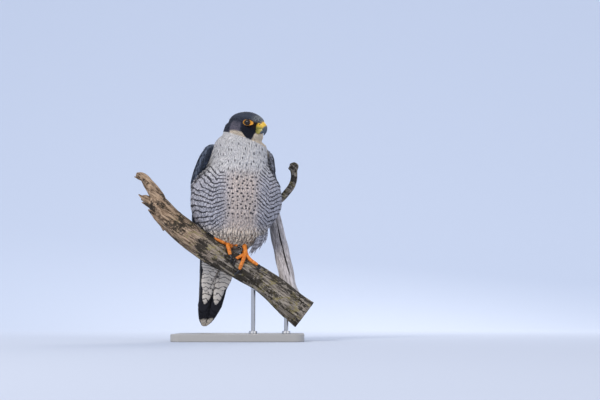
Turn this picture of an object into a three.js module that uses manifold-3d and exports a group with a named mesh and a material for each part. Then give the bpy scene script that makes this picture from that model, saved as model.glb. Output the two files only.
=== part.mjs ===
// A life-size peregrine falcon gripping a cut length of dead branch, held up by a plain display stand.
// Millimetres, +Z up. The origin is the middle of the stand's underside. The viewer stands at -Y.
import * as THREE from "three";
import { mergeVertices } from "three/addons/utils/BufferGeometryUtils.js";
import Module from "manifold-3d";

const wasm = await Module();
wasm.setup();

// Driving dimensions of the bird. Its own axes are left (l), forward (f) and up (u) from the middle of
// the body.
const GAP = 0.35; // between neighbouring solids
const SLIVER = 0.12; // faces flatter than this are merged after a cut
const BODY_X = -10;
const BODY_Y = 18;
const BODY_Z = 266;
const BODY_TURN = 14; // degrees that the breast is turned to the viewer's right
const TAIL_SWAY = 0.192; // sideways share of the tail's and wing tips' drop
const NECK_CUT = 108; // height of the seam between torso and neck
const TOE_ROOM = 7; // between the belly and the branch
const FOOT_ROOM = 0.9; // between the belly's plumage and the feet

// Heights and half sizes of the feathered body: u, half width, front, back, sideways shift.
const BODY_STATIONS = [
  [-96, 0, 0, 0, 0],
  [-88, 31, 17, 35, 0],
  [-72, 54, 32, 46, 0],
  [-50, 71, 44, 53, 1],
  [-28, 83, 52, 55, 2],
  [-6, 88, 57, 55, 2],
  [12, 87, 60, 54, 2],
  [28, 83, 61, 53, 2],
  [47, 69, 61, 52, 4],
  [66, 56, 60, 50, 6],
  [85, 52, 57, 46, 8],
  [100, 51.5, 54.5, 39, 7.5],
  [108, 49, 53, 32, 6],
  [113, 41.5, 51, 26, 1],
  [118, 32, 48, 17, -4.5],
  [123.5, 18.5, 42, 4, -10.5],
  [127, 0, 33, -33, -14],
];

// The surface that the folded wings lie on: u, half width, backward shift of its middle, depth.
const WING_STATIONS = [
  [114, 42, 10, 30],
  [104, 54, 6, 38],
  [85, 65, 4, 46],
  [66, 73, 3, 50],
  [47, 79, 3, 53],
  [28, 82, 3, 54],
  [0, 83, 3, 56],
  [-28, 81, 9, 53],
  [-50, 71, 19, 47],
  [-70, 59, 31, 38],
  [-90, 49, 43, 29],
  [-110, 42, 55, 21],
  [-140, 34, 68, 14],
  [-170, 27, 80, 10],
  [-200, 20, 90, 8],
  [-230, 11, 99, 6],
];
const WING_TOP = 112;
const WING_END = -46; // of the folded arm, where the primaries leave it
const WING_THICK = 7; // of the arm over the surface, before its feathers
const WING_INNER = 24; // how deep the arm goes in towards the body
const WING_FEATHER = 9.4; // half width
const WING_SHINGLE = 0.18; // how much a feather rises for each millimetre of its length
const PRIMARY_PITCH = 0.95;

// Head: its middle in the world, its turn and pitch in degrees, and its half sizes.
const HEAD = { x: 16, y: -8, z: 410, turn: 58, pitch: 11 };
const HEAD_FRONT = 37;
const HEAD_LORES = 26; // below the forehead, where the bill leaves it
const HEAD_BACK = 43.5;
const HEAD_WIDE = 27;
const HEAD_HIGH = 23.5;
const BROW = 1.7; // how far the ridge over the eye stands out
const CHEEK = 2.2;
const EYE = { forward: 12.5, aside: 19.5, up: 1.2, radius: 7.6 };
// The hood's nape and throat, where the head runs down into the neck: height, middle and half sizes,
// in the world.
const NECK_RINGS = [
  [364, 2, 4, 0, 0],
  [371, 2, 4, 27, 18],
  [379, 4, -1, 38, 25],
  [387, 6, -2, 40, 28],
  [396, 5, -1, 38, 28],
  [405, 5, 0, 35, 27],
  [413, 6, -1, 31, 25],
  [423, 12, -4, 0, 0],
];

// Tail: its plane leans backwards from the rump.
const TAIL_ROOT_U = -84;
const TAIL_ROOT_B = 46;
const TAIL_LEAN = 0.28;
const TAIL_TIP_U = -239;
const TAIL_STEP = 26; // by which the outermost tail feathers are shorter
const RECTRICES = 12;
const TAIL_PITCH = 0.95; // of the stacked tail feathers
// Undertail coverts, from the longest pair at the back to the shortest at the front.
const UNDERTAIL = [
  { rootL: 10, tipL: 11, tipU: -194, half: 13 },
  { rootL: 16, tipL: 17, tipU: -172, half: 15 },
  { rootL: 14, tipL: 16, tipU: -152, half: 17 },
  { rootL: 22, tipL: 22, tipU: -136, half: 17 },
];
const FLANK_PLUMES = 7;

// Perch: middle line and radius of the branch, its broken ends, its side prong and the prong's hooked end.
const BRANCH_LINE = [
  [-165, 0, 271, 11],
  [-157, 0, 260, 17],
  [-131, 0, 230, 21.5],
  [-95, 0, 197, 24],
  [-51, 0, 168, 23.5],
  [-7, 0, 141, 22],
  [35, 1, 117, 22.5],
  [77, 3, 86.5, 25.5],
  [124, 4, 51, 28.5],
];
const SPIKE_LINE = [
  [-198, 4, 317, 3.5],
  [-187, 3, 313, 7.5],
  [-174, 2, 297, 10],
  [-161, 0, 277, 12.5],
  [-147, 0, 254, 14],
];
const STUB_LINE = [
  [-186, 0, 270, 5],
  [-181, -1, 269, 7],
  [-165, 0, 257, 10],
  [-150, 0, 245, 8],
];
const PRONG_LINE = [
  [104, 6, 66, 20],
  [92, 18, 103, 15],
  [86, 36, 136, 14.5],
  [79, 58, 166, 14.5],
  [72, 76, 195, 14.5],
  [66, 88, 230, 13.5],
  [61, 94, 256, 11],
  [58, 97, 270, 7],
];
const PRONG_FLATNESS = 0.62;
const HOOK_LINE = [
  [58, 94, 262, 7],
  [71, 96, 275, 7],
  [84, 95, 287, 7],
  [96, 93, 302, 6.8],
  [102, 92, 320, 6.4],
  [102, 91, 334, 7],
  [101, 91, 342, 10.5],
  [98, 91, 350, 5],
];

// Stand
const BASE = { halfX: 122, halfY: 92, thick: 14, middleY: 18, corner: 18 };
const RODS = [
  { x: 26, y: 3, radius: 4 },
  { x: 88, y: 4, radius: 4 },
];

const rad = THREE.MathUtils.degToRad;
const lerp = THREE.MathUtils.lerp;
const smoothstep = THREE.MathUtils.smoothstep;
const clamp = THREE.MathUtils.clamp;

// A seeded draw from 0 to 1, for the small differences between like feathers.
function seededDraw(seed) {
  let state = seed;
  return () => {
    state = (state * 1664525 + 1013904223) % 4294967296;
    return state / 4294967296;
  };
}

// The row of a table at a first column's value, smoothly interpolated.
function tableAt(table, key) {
  const rising = table[1][0] > table[0][0];
  const x = rising ? key : -key;
  const keys = table.map((row) => (rising ? row[0] : -row[0]));
  const last = table.length - 1;
  let i = 0;
  while (i < last - 1 && x > keys[i + 1]) i += 1;
  const span = keys[i + 1] - keys[i];
  const t = clamp((x - keys[i]) / span, 0, 1);
  return table[0].map((_, column) => {
    const p1 = table[i][column];
    const p2 = table[i + 1][column];
    const slope = (p2 - p1) / span;
    const before = i > 0 ? (p1 - table[i - 1][column]) / (keys[i] - keys[i - 1]) : slope;
    const after = i + 2 <= last ? (table[i + 2][column] - p2) / (keys[i + 2] - keys[i + 1]) : slope;
    const m1 = (before * slope > 0 ? (before + slope) / 2 : 0) * span;
    const m2 = (slope * after > 0 ? (slope + after) / 2 : 0) * span;
    const t2 = t * t;
    const t3 = t2 * t;
    return (2 * t3 - 3 * t2 + 1) * p1 + (t3 - 2 * t2 + t) * m1 + (3 * t2 - 2 * t3) * p2 + (t3 - t2) * m2;
  });
}

// A place of the bird, given to its left, forwards and up, in the world. What hangs behind sways to
// its right.
function place(l, f, u) {
  const behind = smoothstep(-f, 10, 40);
  const swayed = l - TAIL_SWAY * Math.max(0, -20 - u) * behind;
  const s = Math.sin(rad(BODY_TURN));
  const c = Math.cos(rad(BODY_TURN));
  return new THREE.Vector3(BODY_X + f * s + swayed * c, BODY_Y - f * c + swayed * s, BODY_Z + u);
}

// A closed three.js geometry as a solid.
function solid(geometry) {
  const bare = geometry.clone();
  bare.deleteAttribute("normal");
  bare.deleteAttribute("uv");
  const merged = mergeVertices(bare, 1e-3);
  const mesh = new wasm.Mesh({
    numProp: 3,
    vertProperties: new Float32Array(merged.attributes.position.array),
    triVerts: new Uint32Array(merged.index.array),
  });
  return new wasm.Manifold(mesh);
}

// A geometry whose every vertex is moved by a function.
function warp(geometry, move) {
  const position = geometry.attributes.position;
  const point = new THREE.Vector3();
  for (let i = 0; i < position.count; i += 1) {
    const moved = move(point.fromBufferAttribute(position, i).clone());
    position.setXYZ(i, moved.x, moved.y, moved.z);
  }
  return geometry;
}

// The same body with its faces pointing out, however its shape was wound.
function facingOut(body) {
  if (body.volume() > 0) return body;
  const mesh = body.getMesh();
  const flipped = new Uint32Array(mesh.triVerts);
  for (let i = 0; i < flipped.length; i += 3) {
    [flipped[i + 1], flipped[i + 2]] = [flipped[i + 2], flipped[i + 1]];
  }
  const vertProperties = mesh.vertProperties;
  return new wasm.Manifold(new wasm.Mesh({ numProp: 3, vertProperties, triVerts: flipped }));
}

// The same body with its surface moved outwards, to cut a neighbour with.
function inflated(body, grow = GAP) {
  const mesh = body.getMesh();
  const geometry = new THREE.BufferGeometry();
  geometry.setAttribute("position", new THREE.BufferAttribute(new Float32Array(mesh.vertProperties), 3));
  geometry.setIndex(new THREE.BufferAttribute(new Uint32Array(mesh.triVerts), 1));
  geometry.computeVertexNormals();
  const { position, normal } = geometry.attributes;
  const moved = new Float32Array(position.array.length);
  for (let i = 0; i < moved.length; i += 1) moved[i] = position.array[i] + normal.array[i] * grow;
  return new wasm.Manifold(new wasm.Mesh({ numProp: 3, vertProperties: moved, triVerts: mesh.triVerts }));
}

function largest(body) {
  return body.decompose().reduce((best, piece) => (piece.volume() > best.volume() ? piece : best));
}

// One closed surface without needless slivers.
function tidied(body) {
  return largest(largest(body).simplify(SLIVER));
}

// Directions across a curve: an upright one that stays steady along it, and one at right angles.
function crossAxes(tangent, steady) {
  const aside = new THREE.Vector3().crossVectors(tangent, steady).normalize();
  const upright = new THREE.Vector3().crossVectors(aside, tangent).normalize();
  return [upright, aside];
}

// A round body swept along points, closed to a point at both ends. shape(t, angle) gives the distance
// from its line.
function swept(points, sides, steps, shape, steady = new THREE.Vector3(0, 1, 0)) {
  const curve = new THREE.CatmullRomCurve3(points, false, "centripetal");
  const geometry = new THREE.SphereGeometry(1, sides, steps);
  return solid(
    warp(geometry, (p) => {
      const polar = Math.acos(clamp(p.y, -1, 1)) / Math.PI;
      const t = clamp(polar, 0, 1);
      const angle = Math.atan2(p.z, p.x);
      const [upright, aside] = crossAxes(curve.getTangent(t), steady);
      const reach = Math.hypot(p.x, p.z) < 1e-6 ? 0 : shape(t, angle);
      return curve
        .getPoint(t)
        .addScaledVector(upright, Math.cos(angle) * reach)
        .addScaledVector(aside, Math.sin(angle) * reach);
    }),
  );
}

// A flat feather of one body: middle points, half-width vectors and face normals at its stations,
// split alike on both faces.
function vaneSolid(stations) {
  const corners = [];
  stations.forEach(({ middle, half, normal, thick }) => {
    [[-1, -1], [1, -1], [1, 1], [-1, 1]].forEach(([across, out]) => {
      corners.push(middle.clone().addScaledVector(half, across).addScaledVector(normal, (out * thick) / 2));
    });
  });
  const index = [0, 1, 2, 0, 2, 3];
  for (let i = 0; i < stations.length - 1; i += 1) {
    const a = 4 * i;
    const b = a + 4;
    index.push(a, b + 1, a + 1, a, b, b + 1);
    index.push(a + 3, a + 2, b + 2, a + 3, b + 2, b + 3);
    index.push(a + 1, b + 1, b + 2, a + 1, b + 2, a + 2);
    index.push(a, a + 3, b + 3, a, b + 3, b);
  }
  const e = 4 * (stations.length - 1);
  index.push(e, e + 2, e + 1, e, e + 3, e + 2);
  return facingOut(solid(new THREE.BufferGeometry().setFromPoints(corners).setIndex(index)));
}

// Share of the length and of the width along a feather, from its root to its rounded tip.
const VANE_PROFILE = [
  [0, 0.55],
  [0.42, 1],
  [0.86, 0.88],
  [1, 0.2],
];

// A feather on a surface: at(t, aside, out) gives the point at the share t of its length. Its edge on
// the side of growing aside is sunk by the tilt, so that the next feather lies over it.
function vane(at, halfWidth, thick, tilt = 0) {
  const c = Math.cos(rad(tilt));
  const s = Math.sin(rad(tilt));
  return vaneSolid(
    VANE_PROFILE.map(([t, share]) => {
      const middle = at(t, 0, 0);
      const along = at(Math.min(t + 0.02, 1.02), 0, 0).sub(at(t - 0.02, 0, 0)).normalize();
      const across = at(t, 0.5, 0).sub(at(t, -0.5, 0));
      across.addScaledVector(along, -across.dot(along)).normalize();
      const out = new THREE.Vector3().crossVectors(across, along).normalize();
      if (out.dot(at(t, 0, 1).sub(middle)) < 0) out.negate();
      const half = across.clone().multiplyScalar(c).addScaledVector(out, -s);
      half.multiplyScalar(halfWidth * share);
      const normal = out.multiplyScalar(c).addScaledVector(across, s);
      return { middle, half, normal, thick: lerp(thick, 0.5, t) };
    }),
  );
}

// Torso and neck
function bodyRow(u) {
  return tableAt(
    BODY_STATIONS.map(([key, a, f, b, l]) => [key, a * a, f, b, l]),
    u,
  );
}

function bodyPoint(u, angle) {
  const [, wideSquared, front, back, shift] = bodyRow(u);
  const wide = Math.sqrt(Math.max(wideSquared, 0));
  const soft = (v) => Math.sign(v) * Math.abs(v) ** 0.92;
  const middle = (front - back) / 2;
  const deep = ((front + back) / 2) * (wide > 0 ? 1 : 0);
  return place(shift + soft(Math.cos(angle)) * wide, middle + soft(Math.sin(angle)) * deep, u);
}

function bodyForm() {
  const low = BODY_STATIONS[0][0];
  const high = BODY_STATIONS[BODY_STATIONS.length - 1][0];
  const geometry = new THREE.SphereGeometry(1, 22, 17);
  return solid(
    warp(geometry, (p) => {
      const share = (1 - clamp(p.y, -1, 1)) / 2;
      const u = lerp(high, low, share);
      const [, , front, back, shift] = bodyRow(u);
      if (Math.hypot(p.x, p.z) < 1e-6) return place(shift, (front - back) / 2, u);
      return bodyPoint(u, Math.atan2(p.z, p.x));
    }),
  );
}

function slab(low, high) {
  const geometry = new THREE.BoxGeometry(400, 400, high - low);
  geometry.translate(BODY_X, BODY_Y, BODY_Z + (low + high) / 2);
  return solid(geometry);
}

// Head, in its own axes: forward, to its left and up
const HEAD_AXES = (() => {
  const turn = rad(HEAD.turn);
  const pitch = rad(HEAD.pitch);
  const forward = new THREE.Vector3(Math.sin(turn), -Math.cos(turn), 0);
  forward.multiplyScalar(Math.cos(pitch)).setZ(-Math.sin(pitch));
  const left = new THREE.Vector3(Math.cos(turn), Math.sin(turn), 0);
  const up = new THREE.Vector3().crossVectors(forward, left);
  return { forward, left, up, middle: new THREE.Vector3(HEAD.x, HEAD.y, HEAD.z) };
})();

function headPlace(f, l, u) {
  return HEAD_AXES.middle
    .clone()
    .addScaledVector(HEAD_AXES.forward, f)
    .addScaledVector(HEAD_AXES.left, l)
    .addScaledVector(HEAD_AXES.up, u);
}

function headForm() {
  const skull = warp(new THREE.SphereGeometry(1, 20, 14), (p) => {
    const [f, l, u] = [p.z, p.x, p.y];
    const long = f > 0 ? lerp(HEAD_LORES, HEAD_FRONT, smoothstep(u, -0.1, 0.5)) : HEAD_BACK;
    const taper = f > 0 ? 1 - 0.26 * f * f : 1 + 0.04 * f;
    const bump = (reach, [cf, cl, cu], [wf, wl, wu]) =>
      reach * Math.exp(-(((f - cf) / wf) ** 2) - ((Math.abs(l) - cl) / wl) ** 2 - ((u - cu) / wu) ** 2);
    const brow = bump(BROW, [0.42, 0.74, 0.52], [0.25, 0.22, 0.2]);
    const cheek = bump(CHEEK, [0.1, 0.75, -0.62], [0.45, 0.4, 0.35]);
    const high = u > 0 ? HEAD_HIGH : HEAD_HIGH + 1.5;
    return headPlace(
      f * long,
      l * (HEAD_WIDE + brow + cheek) * taper,
      u * (high + 0.5 * brow) * (f > 0 ? 1 - 0.12 * f * f : 1),
    );
  });
  const neck = warp(new THREE.SphereGeometry(1, 20, 10), (p) => {
    const top = NECK_RINGS[NECK_RINGS.length - 1][0];
    const z = lerp(NECK_RINGS[0][0], top, (clamp(p.y, -1, 1) + 1) / 2);
    const [, x, y, wide, deep] = tableAt(NECK_RINGS, z);
    const ring = Math.max(Math.hypot(p.x, p.z), 1e-6);
    return new THREE.Vector3(x + (p.x / ring) * wide, y - (p.z / ring) * deep, z);
  });
  return wasm.Manifold.union([solid(skull), solid(neck)]);
}

function ballAt(center, radius, sides = 14, rings = 8) {
  const geometry = new THREE.SphereGeometry(radius, sides, rings);
  geometry.translate(center.x, center.y, center.z);
  return solid(geometry);
}

function eyeCenter(side) {
  return headPlace(EYE.forward, side * EYE.aside, EYE.up);
}

// The lids: a ring round the eye's opening, facing outwards and a little forwards.
function lidRing(side) {
  const outwards = HEAD_AXES.left.clone().multiplyScalar(side).addScaledVector(HEAD_AXES.forward, 0.28);
  outwards.addScaledVector(HEAD_AXES.up, 0.06).normalize();
  const geometry = new THREE.TorusGeometry(EYE.radius - 1, 1.35, 4, 14);
  geometry.applyQuaternion(new THREE.Quaternion().setFromUnitVectors(new THREE.Vector3(0, 0, 1), outwards));
  const center = eyeCenter(side).addScaledVector(outwards, 4.6);
  geometry.translate(center.x, center.y, center.z);
  return solid(geometry);
}

// Bill: middle line in the head's forward and up, with half height and half width.
const BILL_LINE = [
  [18, 0.6, 7.4, 9.6],
  [25, 1.6, 7.4, 9],
  [31, 1, 7.3, 7.8],
  [35.8, -1, 6.5, 6.3],
  [39.4, -5.6, 4.8, 4.4],
  [40.4, -11.4, 2.8, 2.5],
  [38.8, -17.4, 0.5, 0.5],
];
const LOWER_BILL_LINE = [
  [16, -7.4, 3.4, 8],
  [25, -8.4, 3.6, 7.4],
  [32, -9.4, 3.3, 5.8],
  [38.4, -10.2, 1.3, 2.7],
];
const CERE_FRONT = 35;

function billForm(line) {
  const points = line.map(([f, u]) => headPlace(f, 0, u));
  const rows = line.map(([, , high, wide], i) => [i / (line.length - 1), high, wide]);
  return swept(
    points,
    12,
    10,
    (t, angle) => {
      const [, high, wide] = tableAt(rows, t);
      return 1 / Math.hypot(Math.cos(angle) / high, Math.sin(angle) / wide);
    },
    HEAD_AXES.left,
  );
}

// Everything in front of a plane across the head.
function aheadOf(forward) {
  const geometry = new THREE.BoxGeometry(120, 120, 120);
  const basis = new THREE.Matrix4().makeBasis(HEAD_AXES.forward, HEAD_AXES.left, HEAD_AXES.up);
  geometry.applyMatrix4(basis);
  const center = headPlace(forward + 60, 0, 0);
  geometry.translate(center.x, center.y, center.z);
  return solid(geometry);
}

function nostril(side) {
  const geometry = new THREE.CylinderGeometry(1.35, 1.35, 8, 10);
  const upright = new THREE.Vector3(0, 1, 0);
  geometry.applyQuaternion(new THREE.Quaternion().setFromUnitVectors(upright, HEAD_AXES.left));
  const center = headPlace(30.5, side * 8.4, 2);
  geometry.translate(center.x, center.y, center.z);
  return solid(geometry);
}

// Folded wings
function wingPoint(side, u, angle, height) {
  const [, wide, shift, deep] = tableAt(WING_STATIONS, u);
  const slim = lerp(0.4, 1, smoothstep(angle, rad(4), rad(48)));
  const l = Math.cos(angle) * (wide + height * slim);
  const b = shift + Math.sin(angle) * (deep + height * slim);
  return place(side * l, -b, u);
}

function wingLeading(u) {
  return rad(u > 40 ? lerp(6, -8, smoothstep(u, 40, 100)) : lerp(30, 6, smoothstep(u, 8, 40)));
}

function wingInner(u) {
  return rad(lerp(84, 56, smoothstep(u, -20, 100)));
}

// Of the arm at a height: the middle and the half span of its angles, and how much its ends close it.
function armSpan(u) {
  const along = clamp((2 * (WING_TOP - u)) / (WING_TOP - WING_END) - 1, -1, 1);
  const closing = Math.min(1, 1.5 * Math.sqrt(1 - along * along));
  const [leading, inner] = [wingLeading(u), wingInner(u)];
  return { middle: (leading + inner) / 2, half: ((inner - leading) / 2) * closing, closing };
}

function armHeight(u, angle) {
  const { middle, half, closing } = armSpan(u);
  const across = half > 0 ? (angle - middle) / half : 1;
  return WING_THICK * Math.max(0, 1 - across * across) ** 0.3 * closing;
}

// The folded arm: it closes to its rims and to where the primaries leave it. What enters the body is
// cut off later.
function wingArm(side) {
  const geometry = new THREE.SphereGeometry(1, 16, 10);
  return facingOut(
    solid(
      warp(geometry, (p) => {
        const u = lerp(WING_END, WING_TOP, (clamp(p.y, -1, 1) + 1) / 2);
        const { middle, half, closing } = armSpan(u);
        const across = p.x / Math.max(Math.hypot(p.x, p.z), 1e-6);
        const swell = Math.sqrt(Math.max(0, 1 - across * across)) ** 0.6 * closing;
        const height = p.z > 0 ? WING_THICK * swell : -WING_INNER * swell;
        return wingPoint(side, u, middle + across * half, height);
      }),
    ),
  );
}

// A feather of the wing from its root in the arm. It rises out of it until it lies at its own height.
function wingVane(side, { rootU, tipU, rootAngle, tipAngle, lift, half, thick, tilt = 7 }) {
  const sunk = 0.4 * armHeight(rootU, rad(rootAngle));
  const at = (t, aside, out) => {
    const u = lerp(rootU, tipU, t);
    const angle = rad(lerp(rootAngle, tipAngle, t));
    const [, wide, , deep] = tableAt(WING_STATIONS, u);
    const reach = Math.hypot(wide * Math.sin(angle), deep * Math.cos(angle));
    const height = Math.min(lift, sunk + WING_SHINGLE * (rootU - u));
    return wingPoint(side, u, angle + aside / reach, height + out);
  };
  return vane(at, half, thick, tilt);
}

// Primaries under secondaries, then the coverts in rows up to the shoulder.
function wingFeathers(side) {
  const draw = seededDraw(11);
  const primaries = [-226, -230, -221, -206, -190, -173, -157].map((tipU, i) => ({
    rootU: -20,
    tipU,
    rootAngle: 22 + 5 * i,
    tipAngle: 56 - 2 * i,
    lift: 1 + i * PRIMARY_PITCH,
    half: WING_FEATHER,
    thick: 0.6,
    tilt: 0,
  }));
  const secondaries = 7;
  const tertials = Array.from({ length: secondaries }, (_, i) => {
    const share = i / (secondaries - 1);
    return {
      rootU: 4,
      tipU: lerp(-84, -146, share ** 0.8) + 2 * draw(),
      rootAngle: lerp(30, 78, share),
      tipAngle: lerp(30, 70, share),
      lift: lerp(8.6, 9.6, share),
      half: WING_FEATHER,
      thick: 0.7,
    };
  });
  const rows = [
    { u: 24, long: 54, count: 7, from: 30, to: 78 },
    { u: 54, long: 50, count: 6, from: 15, to: 70 },
    { u: 84, long: 46, count: 5, from: 5, to: 58 },
  ];
  const coverts = rows.flatMap(({ u, long, count, from, to }) =>
    Array.from({ length: count }, (_, i) => {
      const angle = lerp(from, to, i / (count - 1));
      const rootU = u + 2 * draw();
      return {
        rootU,
        tipU: rootU - long - 3 * draw(),
        rootAngle: angle,
        tipAngle: angle + 2,
        lift: 20,
        half: WING_FEATHER,
        thick: 0.7,
      };
    }),
  );
  return [...primaries, ...tertials, ...coverts].map((feather) => wingVane(side, feather));
}

// Tail: a block at the rump with the tail feathers, and the coverts under and over their bases.
function tailPoint(l, u, lift) {
  return place(l, -(TAIL_ROOT_B + TAIL_LEAN * (TAIL_ROOT_U - u) + lift), u);
}

function tailVane({ rootL, tipL, rootU, tipU, lift, half, thick }) {
  const at = (t, aside, out) => tailPoint(lerp(rootL, tipL, t) + aside, lerp(rootU, tipU, t), lift + out);
  return vane(at, half, thick);
}

function tailFeathers() {
  const draw = seededDraw(5);
  const rectrices = Array.from({ length: RECTRICES }, (_, i) => {
    const side = i % 2 ? 1 : -1;
    const outer = 1 - Math.floor(i / 2) / (RECTRICES / 2 - 1); // 1 for the outermost pair
    return {
      rootL: side * (2 + 9 * outer),
      tipL: side * (2 + 11 * outer),
      rootU: TAIL_ROOT_U - 4,
      tipU: TAIL_TIP_U + TAIL_STEP * outer ** 1.7 + draw(),
      lift: 1 + i * TAIL_PITCH,
      half: 13,
      thick: 0.6,
    };
  });
  const under = UNDERTAIL.flatMap(({ rootL, tipL, tipU, half }, tier) =>
    [-1, 1].map((side) => ({
      rootL: side * rootL,
      tipL: side * tipL - 1,
      rootU: TAIL_ROOT_U - 6,
      tipU: tipU + 3 * draw(),
      lift: -1.2 - 2.5 * tier - (side > 0 ? 1.15 : 0),
      half,
      thick: 0.8,
    })),
  );
  const over = [-1, 1].map((side) => ({
    rootL: side * 7,
    tipL: side * 9,
    rootU: TAIL_ROOT_U + 2,
    tipU: TAIL_ROOT_U - 48,
    lift: 1 + (RECTRICES + (side > 0 ? 0.4 : 1.6)) * TAIL_PITCH,
    half: 12,
    thick: 0.7,
  }));
  return [...rectrices, ...under, ...over].map(tailVane);
}

function tailBlock() {
  const geometry = new THREE.SphereGeometry(1, 14, 8);
  return solid(
    warp(geometry, (p) => tailPoint(p.x * 30, TAIL_ROOT_U - 5 + p.y * 18, 2 - p.z * 16)),
  );
}

// Loose plumes that hang from the left flank, apart from the smooth outline of the belly.
function flankPlumes() {
  const draw = seededDraw(23);
  return Array.from({ length: FLANK_PLUMES }, (_, i) => {
    const share = i / (FLANK_PLUMES - 1);
    const root = place(lerp(50, 66, share), lerp(24, 2, share), lerp(-58, -46, share));
    const tipL = lerp(36, 60, share) + 3 * draw();
    const tip = place(tipL, lerp(22, 0, share), lerp(-104, -88, share) - 5 * draw());
    const outwards = new THREE.Vector3(0.6, -0.8, 0);
    const at = (t, aside, out) => {
      const along = tip.clone().sub(root).normalize();
      const across = new THREE.Vector3().crossVectors(outwards, along).normalize();
      const lift = out + 1.6 * (i % 3);
      return root.clone().lerp(tip, t).addScaledVector(across, aside).addScaledVector(outwards, lift);
    };
    return vane(at, 4.2, 0.7);
  });
}

// Branch: its radius swells and creases along the grain.
function barkReach(t, angle, radius) {
  const creases = 0.035 * Math.sin(5 * angle + 9 * t) + 0.03 * Math.sin(3 * angle - 14 * t + 1);
  const knots = 0.05 * Math.sin(21 * t) * Math.cos(angle - 5 * t);
  return radius * (1 + creases + knots);
}

function woodForm(line, sides, steps, flatness = 1) {
  const points = line.map(([x, y, z]) => new THREE.Vector3(x, y, z));
  const rows = line.map(([, , , radius], i) => [i / (line.length - 1), radius]);
  const curve = new THREE.CatmullRomCurve3(points, false, "centripetal");
  const geometry = new THREE.CylinderGeometry(1, 1, 1, sides, steps);
  return solid(
    warp(geometry, (p) => {
      const t = clamp(0.5 - p.y, 0, 1);
      const angle = Math.atan2(p.z, p.x);
      const [upright, aside] = crossAxes(curve.getTangent(t), new THREE.Vector3(0, 1, 0));
      const radius = tableAt(rows, t)[1];
      const reach = Math.hypot(p.x, p.z) < 1e-6 ? 0 : barkReach(t, angle, radius);
      return curve
        .getPoint(t)
        .addScaledVector(upright, Math.cos(angle) * reach * flatness)
        .addScaledVector(aside, Math.sin(angle) * reach);
    }),
  );
}

// Legs and feet. Each point of a toe is a distance along the branch, degrees round it from its top
// towards the viewer, and a lift off the bark.
const FEET = {
  R: {
    x: -32,
    around: 4,
    knee: [-17, 12, -66],
    toes: [
      {
        points: [[-3, 26, 1], [2, 42, 0.5], [6, 54, 0], [10, 64, 0]],
        claw: [[13, 71, 5], [16, 82, 4], [18, 96, 1.4]],
        radius: 3.6,
      },
      {
        points: [[-6, 12, 1], [-12, 22, 0], [-20, 28, 0], [-28, 27, 0]],
        claw: [[-33, 24, 5], [-38, 24, 4], [-42, 31, 1]],
        radius: 3.3,
      },
      {
        points: [[2, 3, 4], [5, 4, 7], [8, 5, 8], [11, 6, 7]],
        claw: [[17, 10, 12], [21, 18, 8.5], [18, 25, 1.2]],
        radius: 3.3,
      },
      {
        points: [[0, -22, 1], [1, -50, 0], [2, -74, 0], [2, -92, 0]],
        claw: [[2, -104, 5], [2, -120, 4], [2, -132, 1]],
        radius: 3.4,
      },
    ],
  },
  L: {
    x: -2,
    around: 12,
    knee: [14, 18, -72],
    toes: [
      {
        points: [[0, 28, 1], [2, 52, 0], [3.5, 76, 0], [5, 98, 0]],
        claw: [[4, 110, 5], [2, 124, 4], [0, 134, 1]],
        radius: 3.6,
      },
      {
        points: [[5, 18, 1], [12, 28, 0], [20, 33, 0], [27, 36, 0]],
        claw: [[31, 46, 5], [28, 60, 4], [20, 68, 1.2]],
        radius: 3.4,
      },
      {
        points: [[-4, 30, 1], [-6, 44, 0], [-8, 56, 0], [-9, 65, 0]],
        claw: [[-9, 75, 5], [-8, 87, 4], [-7, 97, 1]],
        radius: 3,
      },
      {
        points: [[0, -20, 1], [1, -48, 0], [2, -72, 0], [2, -90, 0]],
        claw: [[2, -102, 5], [2, -118, 4], [2, -130, 1]],
        radius: 3.4,
      },
    ],
  },
};

function branchFrame(x) {
  const row = tableAt(BRANCH_LINE, x);
  const ahead = tableAt(BRANCH_LINE, x + 1);
  const behind = tableAt(BRANCH_LINE, x - 1);
  const along = new THREE.Vector3(...ahead.slice(0, 3)).sub(new THREE.Vector3(...behind.slice(0, 3)));
  along.normalize();
  const middle = new THREE.Vector3(row[0], row[1], row[2]);
  const front = new THREE.Vector3(0, -1, 0);
  const up = new THREE.Vector3().crossVectors(front, along).normalize();
  if (up.z < 0) up.negate();
  return { middle, up, front, radius: row[3] };
}

function onBranch(x, degrees, lift) {
  const { middle, up, front, radius } = branchFrame(x);
  const reach = radius * 1.04 + lift;
  middle.addScaledVector(up, Math.cos(rad(degrees)) * reach);
  return middle.addScaledVector(front, Math.sin(rad(degrees)) * reach);
}

function toeForm({ points, radius }, foot) {
  const path = [onBranch(foot.x, foot.around, radius + 2.5)];
  points.forEach(([dx, degrees, lift]) => path.push(onBranch(foot.x + dx, degrees, radius - 0.3 + lift)));
  return swept(path, 6, 8, (t) => {
    const ends = Math.sqrt(Math.max(0, 1 - (2 * t - 1) ** 10));
    return radius * lerp(1.12, 0.9, t) * (1 + 0.1 * Math.cos(22 * t)) * ends;
  });
}

function clawForm({ points, claw, radius }, foot) {
  const [lastX, lastDegrees, lastLift] = points[points.length - 1];
  const path = [onBranch(foot.x + lastX, lastDegrees, radius - 0.3 + lastLift)];
  claw.forEach(([dx, degrees, lift]) => path.push(onBranch(foot.x + dx, degrees, lift)));
  return swept(path, 6, 6, (t) => lerp(radius * 0.9, 0.35, t ** 1.3) * Math.sqrt(Math.min(1, 14 * t)));
}

function tarsusForm(foot) {
  const bottom = onBranch(foot.x, foot.around, 4.5);
  const [l, f, u] = foot.knee;
  const top = place(l, f, u);
  return swept([bottom, bottom.clone().lerp(top, 0.5), top], 8, 6, (t) =>
    lerp(5.4, 4.6, t) * Math.sqrt(Math.max(0, 1 - (2 * t - 1) ** 6)),
  );
}

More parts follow.
